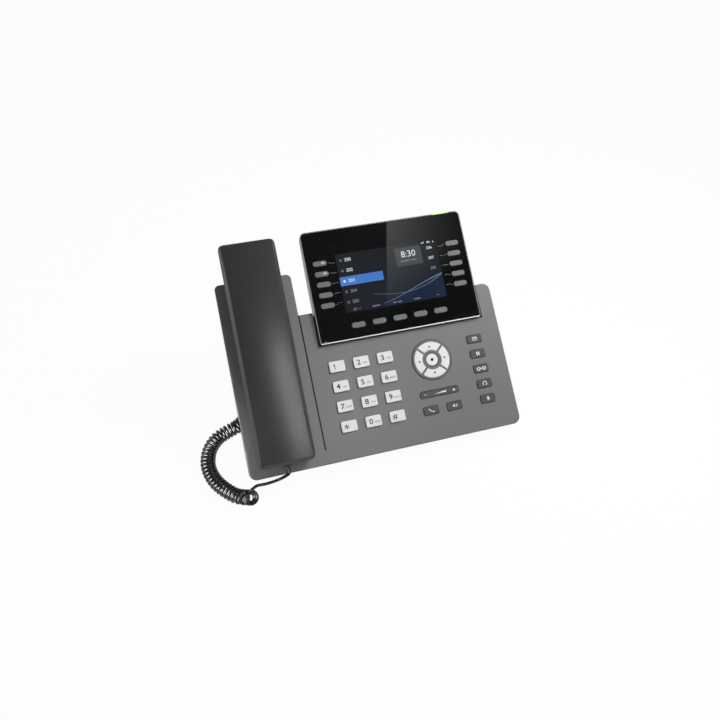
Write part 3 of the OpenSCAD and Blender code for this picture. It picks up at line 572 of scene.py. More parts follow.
def placed(tree, group, **values):
    """Outputs of a node group that is placed in a tree."""
    inputs = {key.replace("_", " "): value for key, value in values.items()}
    return add(tree, "Group", inputs, node_tree=group()).outputs


def scaled(tone, by):
    return tuple(min(1.0, c * by) for c in tone)


def around(tone, low, high):
    """A darker and a lighter one of a tone."""
    return scaled(tone, low), scaled(tone, high)


def dusted(tree, ground, cover, tone):
    return mixed(tree, placed(tree, settled_dust, Cover=cover)["Mask"], ground, tone)


def bumped(tree, grains, strength, depth, **facing):
    inputs = {"Strength": strength, "Distance": depth, "Height": grains["Height"], **facing}
    return add(tree, "Bump", inputs).outputs["Normal"]


def moulding(
    name, tone, roughness, grain=1800.0, depth=0.000012, spread=0.05, worn=1.35, edge=0.0004, dust=0.1,
    gloss=0.5, crown_x=None,
):
    """Moulded plastic: grain, slow tone changes, softened edges lightened as wear and, where the factor is
    below one, darkened as painted shade, a trace of dust.
    """
    material, tree, shader = blank(name)
    grains = placed(tree, surface_grain, Grains_per_metre=grain)
    edges = placed(tree, softened_edge_wear_shade, Radius=edge)
    facing = edges["Normal"]
    if crown_x is not None:
        outward = turned(HANDSET, 0, 0, 1)
        top = placed(tree, crowned_top, Middle=crown_x, Radius=CROWN_RADIUS, Edges=facing, Outward=outward)
        facing = top["Normal"]
    ground = mixed(tree, grains["Cloud"], *around(tone, 1 - spread, 1 + spread))
    # The edge mask lightens the tone as wear, and darkens it as painted shade where the factor is below one.
    ground_with_edge_wear_shade = mixed(tree, edges["Edge wear and shade"], ground, scaled(tone, worn))
    fed(tree, shader, {
        "Base Color": dusted(tree, ground_with_edge_wear_shade, dust, (0.32, 0.31, 0.30)),
        "Roughness": ranged(tree, grains["Cloud"], roughness + 0.04, roughness - 0.04),
        "Normal": bumped(tree, grains, 0.55, depth, Normal=facing),
        "Specular IOR Level": gloss,
    })
    return material


def coat(
    name, grain, clouds, tones, rough, drift="Cloud", dust=None, edge=None, bump=None, light=None, **more,
):
    """A coat whose tone drifts between two, and whose roughness follows its grain."""
    material, tree, shader = blank(name)
    grains = placed(tree, surface_grain, Grains_per_metre=grain, Clouds_per_metre=clouds)
    ground = mixed(tree, grains["Cloud"], *tones)
    inputs = {
        "Base Color": dusted(tree, ground, *dust) if dust else ground,
        "Roughness": ranged(tree, grains[drift], *rough),
    }
    if edge:
        inputs["Normal"] = placed(tree, softened_edge_wear_shade, Radius=edge)["Normal"]
    if bump:
        inputs["Normal"] = bumped(tree, grains, *bump)
    if light:
        inputs["Emission Color"] = mixed(tree, grains["Cloud"], *light[0])
        inputs["Emission Strength"] = light[1]
    fed(tree, shader, {**inputs, **more})
    return material


def printed(name, tone, roughness=0.55):
    """Screen-printed ink with an uneven coat."""
    return coat(name, 5200.0, 300.0, around(tone, 0.9, 1.1), (roughness - 0.06, roughness + 0.06, 0.3, 0.7))


def lit(name, tone, strength, variation=0.08):
    """Part of the picture: light from behind a glossy glass."""
    light = (around(tone, 1 - variation, 1 + variation), strength)
    return coat(name, 6000.0, 45.0, (UNLIT, UNLIT), (0.015, 0.03, 0.3, 0.7), light=light)


def black_glass(name, tone):
    """Glass over black print, with faint wipe marks."""
    dust = (0.02, (0.3, 0.3, 0.3))
    return coat(name, 3000.0, 26.0, around(tone, 0.85, 1.15), GLASSY, dust=dust, edge=0.0003)


def metal(name, tone, roughness):
    """Bright metal with fine marks."""
    rough = (roughness - 0.05, roughness + 0.08)
    return coat(name, 900.0, 60.0, around(tone, 0.93, 1.05), rough, "Height", edge=0.0002, Metallic=1.0)


def jacket(name):
    """Glossy black jacket of the curly cord, with the faint lines of its extruder."""
    tones = ((0.0045, 0.0045, 0.005), (0.009, 0.009, 0.0095))
    return coat(
        name, 2600.0, 90.0, tones, (0.16, 0.24, 0.3, 0.7), dust=(0.05, (0.2, 0.2, 0.2)), bump=(0.3, 0.000008),
        **{"Specular IOR Level": 0.6},
    )


def lamp_lens(name, tone):
    """Tinted lens of the message lamp, lit a little from inside."""
    light = (around(tone, 0.6, 1.0), 0.35)
    rough = (0.14, 0.24, 0.3, 0.7)
    return coat(name, 2200.0, 120.0, around(tone, 0.85, 1.1), rough, edge=0.0003, light=light)


def laminate(name):
    """Green circuit board with darker tracks."""
    material, tree, shader = blank(name)
    tracks = add(tree, "TexBrick", {"Vector": here(tree), "Scale": 160}).outputs["Fac"]
    fed(tree, shader, {
        "Base Color": mixed(tree, tracks, (0.012, 0.075, 0.03), (0.03, 0.15, 0.06)),
        "Roughness": ranged(tree, tracks, 0.3, 0.45),
    })
    return material


def picture_ground(name, tone, glow):
    """Ground of the picture: slate on the left, blue towards the lower right."""
    material = coat(name, 3000.0, 26.0, (UNLIT, UNLIT), GLASSY)
    tree = material.node_tree
    local = add(tree, "Mapping", {
        "Vector": here(tree),
        "Location": GLASS @ Vector((0, bpy.context.scene.phone_screen.centre, 0)),
        "Rotation": (math.radians(FACE_TILT + GLASS_TILT), 0, 0),
    }, vector_type="TEXTURE")
    spot = split(tree, local.outputs["Vector"])
    across = ranged(tree, spot["X"], 0, 1, -0.047, 0.047)
    down = ranged(tree, spot["Y"], 1, 0, -0.027, 0.020)
    slate = mixed(tree, across, scaled(tone, 1.5), scaled(tone, 0.8))
    low = mixed(tree, across, scaled(tone, 1.2), (tone[0] * 1.2, tone[1] * 1.7, tone[2] * 2.6))
    shine = {"Emission Color": mixed(tree, down, slate, low), "Emission Strength": glow}
    fed(tree, tree.nodes["Principled BSDF"], shine)
    return material


def finish(name):
    """The named finish, made when it is first asked for."""
    if name in bpy.data.materials:
        return bpy.data.materials[name]
    tones = bpy.context.scene.phone_colours
    glow = bpy.context.scene.phone_screen.glow
    makers = {
        "front shell": (moulding, tones.body, 0.48, dict(
            grain=3600.0, depth=0.000004, spread=0.025, worn=1.08, dust=0.04)),
        "rear shell": (moulding, tones.rear, 0.55, dict(grain=1300.0, depth=0.00002, dust=0.16)),
        # The handset's edge band is darkened to about a third of its tone: painted shade.
        "handset shell": (moulding, tones.handset, 0.30, dict(
            grain=4200.0, depth=0.0000015, spread=0.02, worn=0.35, edge=0.0018, dust=0.02,
            crown_x=HANDSET_X * MM)),
        "light keytop": (moulding, tones.key_light, 0.38, dict(
            grain=2600.0, depth=0.000004, spread=0.02, worn=1.02, edge=0.0005, dust=0.03)),
        "dark keytop": (moulding, tones.key_dark, 0.42, dict(grain=2600.0, depth=0.000005, worn=1.4)),
        "display keytop": (moulding, tones.key_grey, 0.48, dict(
            grain=2600.0, depth=0.000006, worn=1.5, edge=0.0005)),
        "navigation ring": (moulding, (0.16, 0.163, 0.167), 0.42, dict(
            grain=2400.0, depth=0.000005, edge=0.0005)),
        "painted rim": (moulding, tones.rim, 0.32, dict(
            grain=2600.0, depth=0.000003, worn=1.25, edge=0.0003, dust=0.02)),
        "bright strip": (moulding, (0.90, 0.90, 0.91), 0.22, dict(
            grain=2600.0, depth=0.000002, spread=0.01, worn=1.0, edge=0.0002, dust=0.0)),
        "socket shell": (moulding, (0.012, 0.012, 0.013), 0.50, dict(depth=0.00001)),
        "foot rubber": (moulding, (0.018, 0.018, 0.019), 0.78, dict(
            grain=1200.0, depth=0.00003, dust=0.3, gloss=0.3)),
        "plug shell": (moulding, (0.02, 0.02, 0.022), 0.26, dict(depth=0.000004, edge=0.0003)),
        "display border": (black_glass, tones.glass),
        "contact gold": (metal, (0.80, 0.58, 0.22), 0.22),
        "screw steel": (metal, (0.55, 0.55, 0.54), 0.30),
        "board laminate": (laminate,),
        "lamp lens": (lamp_lens, tones.lamp),
        "cord jacket": (jacket,),
        "black ink": (printed, (0.010, 0.010, 0.011)),
        "grey ink": (printed, (0.30, 0.31, 0.33)),
        "white ink": (printed, (0.86, 0.86, 0.86)),
        "tick ink": (printed, (0.16, 0.16, 0.16)),
        "blank label": (printed, (0.20, 0.20, 0.205), 0.42),
        "key lamp": (lit, (0.55, 0.62, 0.30), 0.9),
        "picture ground": (picture_ground, tones.picture, glow),
        "picture bar": (lit, tones.bar, glow, 0.2),
        "picture card": (lit, (0.050, 0.056, 0.064), glow, 0.15),
        "picture white": (lit, (0.70, 0.72, 0.74), glow),
        "picture grey": (lit, (0.20, 0.21, 0.23), glow),
        "picture band": (lit, (0.13, 0.19, 0.27), glow, 0.3),
        "picture deep": (lit, (0.014, 0.023, 0.050), glow, 0.2),
    }
    maker, *values = makers[name]
    settings = values.pop() if values and isinstance(values[-1], dict) else {}
    return maker(name, *values, **settings)


FINISHES = {
    "front shell": ["front_housing", "rest_tab"],
    "rear shell": ["rear_housing", "stand"],
    "painted rim": ["display_housing"],
    "display border": ["display_glass", "lcd_panel"],
    "bright strip": ["display_trim"],
    "lamp lens": ["message_lamp"],
    "board laminate": ["main_board"],
    "foot rubber": ["keypad_mat", "rubber_feet"],
    "socket shell": ["socket_block", "hook_switch", "nav_gimbal"],
    "handset shell": ["handset_outer", "handset_inner"],
    "plug shell": ["handset_plug", "base_plug"],
    "navigation ring": ["nav_pad"],
    "cord jacket": ["cord_lead", "cord_coil", "cord_tail"],
    "dark keytop": ["volume_rocker", *FEATURE_KEYS],
    "display keytop": LINE_KEYS + SOFT_KEYS,
    "light keytop": ["nav_segments", "key_ok", *(key[0] for key in DIAL_KEYS)],
}


# ---- the cord's line ----

COIL_ROUTE = [
    (-128, -10), (-135.5, -6.2), (-142, -0.5), (-148.5, 7), (-154, 16), (-157.5, 27), (-158, 38), (-155, 50),
    (-148, 60), (-138, 66), (-128, 70.5), (-118.5, 80), (-113.5, 96), (-112, 114), (-105, 128), (-92, 134),
    (-79, 128), (-72, 114), (-72, 96), (-72, 78),
]
LEAD_MIDDLE = [(-97, -6, 21), (-104, -6, 18.5), (-112, -5.5, 16.5), (-119.5, -4.4, 15), (-124.15, -6.25, 14)]
TAIL_MIDDLE = [(-72, 62, 8), (-66, 50, 11), (-57, 42, 17)]
WOUND_TURNS = 3
WOUND_WAY = Vector((-0.05, 0.54, -0.84))
WOUND_SHIFT = Vector((0.0018, -0.0010, 0.0030))


def on_desk(x, y, z):
    """A spot (mm) of the desk, measured from the face's lower edge."""
    return Vector((x * MM, y * MM + FACE_EDGE * MM, z * MM))


def smooth_line(points, steps):
    """A curve through the points, with some steps from each to the next."""
    last = len(points) - 1
    line = []
    for i in range(last):
        a, b, c, d = points[max(i - 1, 0)], points[i], points[i + 1], points[min(i + 2, last)]
        for k in range(steps):
            t = k / steps
            bend = (2 * a - 5 * b + 4 * c - d) * t * t + (3 * b - a - 3 * c + d) * t ** 3
            line.append(0.5 * (2 * b + (c - a) * t + bend))
    line.append(points[last].copy())
    return line


def coil_line(centre, sizes):
    """Turns of the wire round a centre line. The first ones are wound on one spot, the end facing up."""
    radius = (sizes.coil - sizes.wire) / 2
    runs = [0.0]
    for a, b in zip(centre, centre[1:]):
        runs.append(runs[-1] + (b - a).length)
    turns = round(runs[-1] / sizes.pitch) + WOUND_TURNS + 0.5
    count = int(turns * sizes.turn_points)
    still = WOUND_TURNS * sizes.turn_points
    coil, k = [], 0
    for i in range(count + 1):
        run = runs[-1] * max(0, i - still) / (count - still)
        while k < len(runs) - 2 and runs[k + 1] < run:
            k += 1
        spot = centre[k].lerp(centre[k + 1], (run - runs[k]) / (runs[k + 1] - runs[k]))
        ahead = (centre[min(k + 2, len(centre) - 1)] - centre[max(k - 1, 0)]).normalized()
        wound = i / sizes.turn_points
        raised = min(1.0, max(0.0, (6.5 - wound) / 3.5))
        ahead = ((1 - raised) * ahead + raised * WOUND_WAY).normalized()
        side = ahead.cross(Vector((0, 0, 1))).normalized()
        swell = min(1.0, 0.78 + 0.22 * (count - i) / (sizes.turn_points * 0.75))
        if 0.9 < wound < 3.2:
            swell *= 1 - 0.34 * math.sin(math.pi / 2 * min(1.0, (wound - 0.9) / 1.2, (3.2 - wound) / 0.5))
        angle = 2 * math.pi * turns * (i / count)
        ring = math.cos(angle) * side.cross(ahead) - math.sin(angle) * side
        coil.append(spot + raised * WOUND_SHIFT + radius * swell * ring)
    return coil


def cord_line(sizes):
    """Centres of the wire, from the handset's plug through the coil to the base's plug."""
    rest = sizes.coil / 2
    centre = smooth_line([on_desk(x, y, rest / MM) for x, y in COIL_ROUTE], 24)
    plug = HANDSET @ Vector((0, -0.00315, HANDSET_PLUG_Z))
    socket = FACE @ Vector((BASE_PLUG_X, 0.0478, BASE_PLUG_Z))
    lead = [plug, plug + turned(HANDSET, 0, -1, 0) * 0.005]
    lead += [on_desk(*spot) for spot in LEAD_MIDDLE]
    onward = (centre[-1] - centre[-2]).normalized() * 0.006
    end, down = centre[-1], Vector((0, 0, -1))
    tail = [end + down * (rest - sizes.wire / 2 - 0.0012), end + onward + down * 0.002]
    tail += [on_desk(*spot) for spot in TAIL_MIDDLE]
    tail += [socket + turned(FACE, 0, -1, 0) * 0.006, socket]

    coil = coil_line(centre, sizes)
    start_line = smooth_line(lead + [coil[0]], 6)[:-1]
    line = start_line + coil + smooth_line(tail, 6)[1:]
    for join in (len(start_line), len(start_line) + len(coil) - 1):
        for _ in range(8):
            for i in range(join - 4, join + 5):
                line[i] = (line[i - 1] + 2 * line[i] + line[i + 1]) / 4
    kept = [line[0]]
    for spot in line[1:]:
        if (spot - kept[-1]).length > 0.0004:
            kept.append(spot)
    return kept, plug


# ---- pieces ----


class PHONE_OT_camera(bpy.types.Operator):
    """Add the camera that looks at the telephone from the front, left and above."""

    bl_idname = "phone.camera"
    bl_label = "Camera"

    def execute(self, context):
        bpy.ops.object.select_all(action="DESELECT")
        bpy.ops.object.camera_add(location=EYE, rotation=aimed(EYE, LOOKED_AT))
        camera = start("main_camera")
        tuned(camera.data, lens=30, sensor_width=36, clip_start=0.01)
        context.scene.camera = camera
        return {"FINISHED"}


class PHONE_OT_cord(bpy.types.Operator):
    """Add the curly handset cord, one wire from the handset's plug to the base's plug."""

    bl_idname = "phone.cord"
    bl_label = "Curly cord"

    def execute(self, context):
        sizes = context.scene.phone_cord
        line, plug = cord_line(sizes)
        wire = lines_of(
            "curly_cord", [line], False, dimensions="3D", bevel_depth=sizes.wire / 2, bevel_resolution=3,
            use_fill_caps=True, twist_mode="MINIMUM",
        )
        bpy.ops.object.shade_smooth()
        wire.data.materials.clear()
        wire.data.materials.append(finish("cord jacket"))
        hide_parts("cord_lead", "cord_coil", "cord_tail")
        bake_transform(wire)
        return {"FINISHED"}


class PHONE_OT_plugs(bpy.types.Operator):
    """Add the two modular plugs of the cord, with their latches and collars."""

    bl_idname = "phone.plugs"
    bl_label = "Cord plugs"

    def execute(self, context):
        plug = cube("handset_cord_plug")
        drawn(plug, "all", size=(0.0076, 0.0112, 0.0065), shift=(0, 0.0042, 0))
        drawn(plug, "front", inset=0.0009, step=(0, -0.0015, 0), size=(0.8, 1, 0.8))
        drawn(plug, "latch", inset=0.0012, step=(0, 0, -0.0001))
        softened(plug, 0.00025, 2)
        other = copied(plug, "base_cord_plug")
        fitted(plug, HANDSET, 0, 0, HANDSET_PLUG_Z, "plug shell", "handset")
        fitted(other, FACE, BASE_PLUG_X, 0.052, BASE_PLUG_Z, "plug shell", "base")
        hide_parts("handset_plug")
        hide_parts("base_plug")
        return {"FINISHED"}


class PHONE_OT_dial_prints(bpy.types.Operator):
    """Print the digit and the letters of each dial key."""

    bl_idname = "phone.dial_prints"
    bl_label = "Dial prints"

    def execute(self, context):
        sizes = context.scene.phone_prints
        half = sizes.digit / MM / 2
        one = [(-0.05, half), (-1.15, half - 0.85), (-1.15, half - 1.5), (-0.05, half - 0.75)]
        one += [(-0.05, -half), (0.6, -half), (0.6, half)]
        arms = [math.pi / 2 + i * math.pi / 3 for i in range(6)]
        star = [[stroke([(0, 0), (2.5 * math.cos(a), 2.5 * math.sin(a))], 0.6)] for a in arms]
        shapes = {"1": [[one]], "*": star}
        for node, digit, letters in DIAL_KEYS:
            name = f"{node}_digit"
            if digit in shapes:
                sign = ink(name, shapes[digit], sizes.ink)
            else:
                sign = words(name, digit, sizes.digit, sizes.ink, 0.00008, 1.08)
            on_key(sign, node, "black ink", -0.0024, -0.0002)
            if letters:
                small = words(f"{node}_letters", letters, sizes.letters, sizes.ink, 0.00004)
                on_key(small, node, "grey ink", 0.0033, -0.0011)
        return {"FINISHED"}


class PHONE_OT_key_icons(bpy.types.Operator):
    """Print the white signs of the feature keys, the call keys and the volume rocker."""

    bl_idname = "phone.key_icons"
    bl_label = "Key signs"

    def execute(self, context):
        thick = context.scene.phone_prints.ink
        receivers = []
        for x in (-2.7, 2.7):
            receivers += [[stroke(arc(1.7, 150, 30, x, -0.6), 0.6)], [slab(2.6, 1.0, 0.35, x, -1.35)]]
            receivers += [[slab(1.0, 0.9, 0.25, x - 1.35, -0.15)], [slab(1.0, 0.9, 0.25, x + 1.35, -0.15)]]
        signs = {
            "key_message": [
                [slab(4.6, 3.2, 0.7), slab(3.7, 2.3, 0.3)],
                [stroke([(-1.9, 1.2), (0, -0.35), (1.9, 1.2)], 0.5)],
            ],
            "key_hold": [
                [stroke([(-1.05, 1.7), (-0.75, -1.7)], 1.0)], [stroke([(0.75, 1.7), (1.05, -1.7)], 1.0)],
            ],
            "key_transfer": receivers + [[[(-0.7, 0.9), (-0.7, -0.9), (0.7, 0.0)]]],
            "key_headset": [
                [stroke(arc(1.75, 200, -20), 0.55)],
                [slab(0.95, 1.5, 0.3, -1.55, -0.7)], [slab(0.95, 1.5, 0.3, 1.55, -0.7)],
                [stroke([(1.5, -1.3), (1.1, -1.85), (0.2, -1.9)], 0.4)],
            ],
            "key_mute": [
                [slab(1.5, 2.6, 0.72, 0, 0.65)], [stroke(arc(1.35, 180, 360, 0, 0.35), 0.38)],
                [slab(0.42, 0.9, 0.05, 0, -1.35)], [slab(1.8, 0.42, 0.1, 0, -1.8)],
            ],
            "key_call": [
                [stroke([(-1.9, 1.4), (-1.25, 0.35), (-0.2, -0.65), (1.0, -1.25), (2.1, -1.6)], 0.75)],
                [slab(1.5, 1.2, 0.35, -1.75, 1.15)], [slab(1.4, 1.2, 0.35, 1.85, -1.25)],
            ],
            "key_speaker": [
                [[(-2.1, -0.6), (-1.2, -0.6), (0.0, -1.6), (0.0, 1.6), (-1.2, 0.6), (-2.1, 0.6)]],
                [stroke(arc(1.3, -42, 42), 0.42)], [stroke(arc(2.2, -42, 42), 0.42)],
            ],
        }
        for node, shapes in signs.items():
            on_key(ink(f"{node}_sign", shapes, thick), node, "white ink")
        louder = [
            [slab(1.6, 0.6, 0.15, -13.6, 0)], [[(-5.2, -0.75), (6.2, -0.75), (6.2, 0.95)]],
            [[(12.3, -1.0), (14.9, -1.0), (13.6, 1.2)]],
        ]
        on_key(ink("volume_marks", louder, thick), "volume_rocker", "white ink")
        return {"FINISHED"}


class PHONE_OT_navigation_marks(bpy.types.Operator):
    """Print the dots of the navigation pad and its centre key, and put black rings of painted shade in the
    gaps round both.
    """

    bl_idname = "phone.navigation_marks"
    bl_label = "Navigation dots"

    def execute(self, context):
        thick = context.scene.phone_prints.ink
        dots = [[disc(0.85, x, y, 24)] for x, y in ((11.9, 0), (0, 11.9), (-11.9, 0), (0, -11.9))]
        on_key(ink("navigation_dots", dots, thick), "nav_segments", "black ink", body="nav_pad")
        on_key(ink("centre_dot", [[disc(1.35)]], thick), "key_ok", "black ink")
        x, y, z = top_of("key_ok", FACE)
        # Black rings just below the face in the two gaps: painted shade.
        for name, outer, inner, points, level, body in (
            ("centre_gap", 6.36, 5.88, 48, -0.0004, "nav_pad"),
            ("navigation_gap", 18.82, 18.64, 96, -0.0009, "base"),
        ):
            shade_ring = ink(name, [[disc(outer, n=points), disc(inner, n=points)]], SHADE_SHEET)
            fitted(shade_ring, FACE, x, y, level, "foot rubber", body)
        return {"FINISHED"}


class PHONE_OT_shade_in_key_gaps(bpy.types.Operator):
    """Put a thin black sheet of painted shade in the gap round each key of the face."""

    bl_idname = "phone.key_gaps"
    bl_label = "Shade in the gaps round the keys"

    def execute(self, context):
        for node in [key[0] for key in DIAL_KEYS] + FEATURE_KEYS + ["volume_rocker"]:
            low, high = extent(node, FACE, above=0.0001)
            w, h = (high.x - low.x) / MM, (high.y - low.y) / MM
            free = 0.34 if node == "volume_rocker" else 0.06
            loops = [slab(w + 0.56, h + 0.56, 1.55), slab(w + free, h + free, 1.33)]
            # A black sheet just below the face in the key's gap: painted shade.
            rim = ink(f"{node}_gap", [loops], SHADE_SHEET)
            fitted(rim, FACE, (low.x + high.x) / 2, (low.y + high.y) / 2, -0.00024, "foot rubber", "base")
        return {"FINISHED"}


class PHONE_OT_groove_shade(bpy.types.Operator):
    """Put a black strip of painted shade in the groove between the column and the keypad."""

    bl_idname = "phone.groove_strip"
    bl_label = "Groove shade"

    def execute(self, context):
        # A black strip below the face in the groove: painted shade.
        strip = ink("groove_strip", [[slab(1.24, GROOVE_HIGH - GROOVE_LOW, 0.3)]], SHADE_SHEET)
        middle = (GROOVE_LOW + GROOVE_HIGH) / 2 * MM
        fitted(strip, FACE, GROOVE_X * MM, middle, -0.00045, "black ink", "base")
        return {"FINISHED"}


class PHONE_OT_key_ticks(bpy.types.Operator):
    """Print the lines that lead from the line keys to the picture, and light two key lamps."""

    bl_idname = "phone.key_ticks"
    bl_label = "Key ticks"

    def execute(self, context):
        sizes = context.scene.phone_prints
        for node in LINE_KEYS:
            x, y, z = top_of(node, GLASS)
            side = -1 if x < 0 else 1
            jog = (int(node[-1]) - 3) * 0.55
            line = [(-side * 7.2, 0), (-side * 8.4, 0), (-side * 9.6, jog), (-side * 13.6, jog)]
            tick = ink(f"{node}_tick", [[stroke(line, sizes.tick / MM)]], sizes.ink)
            fitted(tick, GLASS, x, y, sizes.ink * PRINT_LIFT, "tick ink", "base")
        for node in LINE_KEYS[:2]:
            lamp = ink(f"{node}_lamp", [[slab(3.4, 1.7, 0.84)]], sizes.ink)
            on_key(lamp, node, "key lamp", 0.0030, 0.0003, plane=GLASS)
        return {"FINISHED"}


class PHONE_OT_screen(bpy.types.Operator):
    """Build the picture under the glass: a list, a chosen row, a clock card and a soft wave."""

    bl_idname = "phone.screen"
    bl_label = "Screen picture"

    def execute(self, context):
        sizes = context.scene.phone_screen
        w, h, mid = sizes.width / MM, sizes.height / MM, sizes.centre / MM
        low, high = mid - h / 2, mid + h / 2
        rows = [extent(f"line_l{i}", GLASS) for i in range(1, 6)]
        ys = [(a.y + b.y) / 2 / MM for a, b in rows]

        def layer(name, shapes, tone, level):
            film = ink(f"picture_{name}", shapes, FILM)
            fitted(film, GLASS, 0, 0, FILM + level * 2 * FILM, f"picture {tone}", "base")

        def line(name, text, height, weight, x, y, tone):
            text = words(f"picture_{name}", text, height, FILM, weight)
            fitted(text, GLASS, x, y, 7 * FILM, f"picture {tone}", "base")

        layer("ground", [[slab(w, h, 0.2, 0, mid)]], "ground", 0)
        shares = [i / 24 for i in range(25)]
        wave = [(-12 + 59.4 * t, low + 9 + 7.5 * math.sin(-0.9 + 2.3 * t) + 5.5 * t ** 2) for t in shares]
        second = [(-20 + 67.4 * t, low + 14.5 - 5.5 * math.sin(0.2 + 2.6 * t) + 9 * t ** 3) for t in shares]
        layer("deep", [[[*wave, (47.4, low + 0.2), (-12, low + 0.2)]]], "deep", 1)
        layer("wave", [[stroke(wave, 0.3, 1.1)], [stroke(second, 0.2, 0.6)]], "band", 2)
        layer("card", [[slab(25, 17, 1.2, 19.5, ys[0] - 5.6)]], "card", 2)
        layer("chosen", [[slab(40, 8.2, 0.5, -w / 2 + 20.1, ys[2])]], "bar", 2)
        icons = [[disc(1.15, -43.5, y, 20), disc(0.65, -43.5, y, 20)] for y in ys[:2] + ys[3:]]
        layer("row_icons", icons, "grey", 3)
        layer("chosen_icon", [[disc(1.2, -43.5, ys[2], 20)]], "white", 3)
        for i, number in enumerate(("200", "202", "203", "204", "205")):
            tone = "white" if i < 3 else "grey"
            line(f"number_{i + 1}", number, 0.0030, 0.00005, -0.0370, ys[i] * MM, tone)
        line("clock", "8:30", 0.0060, 0.00003, 0.0195, (ys[0] - 3.6) * MM, "white")
        date = [[slab(width, 0.9, 0.4, x, ys[0] - 9.6)] for width, x in ((9, 15.5), (5, 23.6))]
        layer("date", date, "grey", 3)
        for i in range(3):
            tone = "white" if i < 2 else "grey"
            line(f"number_{i + 6}", str(206 + i), 0.0026, 0.00005, 0.0402, ys[i] * MM - 0.0009, tone)
        status = [[slab(0.5, 0.5 + 0.4 * k, 0.1, 33.5 + 0.8 * k, high - 1.9 + 0.2 * k)] for k in range(4)]
        status += [
            [slab(3.0, 1.5, 0.3, 40.6, high - 1.5), slab(2.5, 1.0, 0.15, 40.6, high - 1.5)],
            [slab(1.7, 0.8, 0.1, 40.2, high - 1.5)],
            [[(44.2, high - 2.2), (45.8, high - 2.2), (45.0, high - 0.8)]],
        ]
        layer("status", status, "white", 3)
        bars = ((7.4, -19.4), (3.6, -2.0), (4.0, 3.0), (6.2, 19.4))
        soft = [[slab(width, 0.95, 0.4, x, low + 2.4)] for width, x in bars]
        soft += [[slab(2.6, 2.2, 0.5, -39.0, low + 2.6), slab(1.6, 1.2, 0.3, -39.0, low + 2.6)]]
        soft += [[disc(0.45, x, low + 2.6, 14)] for x in (-35.6, -34.0, 38.7, 40.3)]
        layer("soft_labels", soft, "grey", 3)
        return {"FINISHED"}


class PHONE_OT_contacts(bpy.types.Operator):
    """Add the spring contacts of the open sockets and the pin of the power socket."""

    bl_idname = "phone.contacts"
    bl_label = "Socket contacts"

    def execute(self, context):
        low, high = extent("socket_block", FACE)
        mouth, level = low.y, (low.z + high.z) / 2
        spring = cube("contact_spring")
        drawn(spring, "all", size=(0.00042, 0.0012, 0.00028))
        for step in ((0, 0.0022, 0.0003), (0, 0.0026, 0.0014), (0, 0.0012, 0.0002)):
            tip = max(v.co.y for v in spring.data.vertices)
            drawn(spring, lambda c, n, tip=tip: n.y > 0.3 and c.y > tip - 0.0003, step=step)
        softened(spring, 0.00006)
        for name, x, count, pitch, drop in (
            ("headset_contacts", -0.030, 4, 0.00127, 0.0031), ("lan_contacts", -0.008, 8, 0.00102, 0.0038),
            ("pc_contacts", 0.014, 8, 0.00102, 0.0038),
        ):
            springs = []
            for i in range(count):
                one = copied(spring, f"{name}_{i}")
                across = x + (i - (count - 1) / 2) * pitch
                springs.append(settled(one, FACE, across, mouth + 0.0022, level - drop + 0.0003))
            dressed(joined(springs, name), "contact gold", "base")
        bpy.data.objects.remove(spring)
        pin = cylinder("power_pin", 24, 0.00112, 0.0075)
        rounded(pin, "down", 0.0005)
        drawn(pin, "down", inset=0.0002, step=(0, 0, 0.0004))
        alone(pin)
        bpy.ops.object.shade_smooth_by_angle(angle=math.radians(35))
        seat = FACE @ Matrix.Translation((0.036, mouth + 0.0053, level))
        fitted(pin, seat @ Matrix.Rotation(-math.pi / 2, 4, "X"), 0, 0, 0, "contact gold", "base")
        return {"FINISHED"}


class PHONE_OT_screws(bpy.types.Operator):
    """Add the screws of the rear shell, each in its collar, and the blank label."""

    bl_idname = "phone.screws"
    bl_label = "Rear screws and label"

    def execute(self, context):
        low, high = extent("rear_housing", FACE)
        screw = cylinder("screw_head", 32, 0.0031, 0.0011)
        rounded(screw, "up", 0.0005)
        cutter = cube("screw_cross", location=(0, 0, 0.0005))
        drawn(cutter, "all", size=(0.0007, 0.0034, 0.0012))
        drawn(cutter, "down", size=(0.8, 0.35, 1))
        twin = settled(copied(cutter, "screw_cross_2"), Matrix.Identity(4), 0, 0, 0, 90)
        for tool in (cutter, twin):
            alone(screw)
            bpy.ops.object.modifier_add(type="BOOLEAN")
            tuned(screw.modifiers["Boolean"], operation="DIFFERENCE", object=tool)
            bpy.ops.object.modifier_apply(modifier="Boolean")
            bpy.data.objects.remove(tool)
        outwards(screw)
        collar = cylinder("screw_collar", 48, 0.0048, 0.0010)
        drawn(collar, "up", inset=0.0011, step=(0, 0, -0.0007))
        softened(collar, 0.00018, 2, 40)
        back = FACE @ Matrix.Translation((0, 0, low.z)) @ Matrix.Rotation(math.pi, 4, "Y")
        for i, (u, v) in enumerate(((-0.112, 0.030), (0.112, 0.030), (-0.112, 0.112), (0.112, 0.112))):
            seat = copied(collar, f"screw_collar_{i + 1}")
            head = copied(screw, f"screw_head_{i + 1}")
            fitted(seat, back, -u, v, 0.0, "rear shell", "base")
            dressed(settled(head, back, -u, v, 0.0, 20 + 35 * i), "screw steel", "base")
        bpy.data.objects.remove(screw)
        bpy.data.objects.remove(collar)
        label = ink("blank_label", [[slab(44, 26, 1.5)]], 0.00012)
        fitted(label, back, 0.088, 0.070, 0.00004, "blank label", "base")
        return {"FINISHED"}


class PHONE_OT_finishes(bpy.types.Operator):
    """Give every solid of the frame its finish."""

    bl_idname = "phone.finishes"
    bl_label = "Finishes of the solids"

    def execute(self, context):
        named = {node: name for name, nodes in FINISHES.items() for node in nodes}
        for node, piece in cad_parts.items():
            if node not in named or not piece.material_slots:
                raise RuntimeError(f"{node} has no finish or no material slot")
            for place in piece.material_slots:
                place.material = finish(named[node])
        return {"FINISHED"}


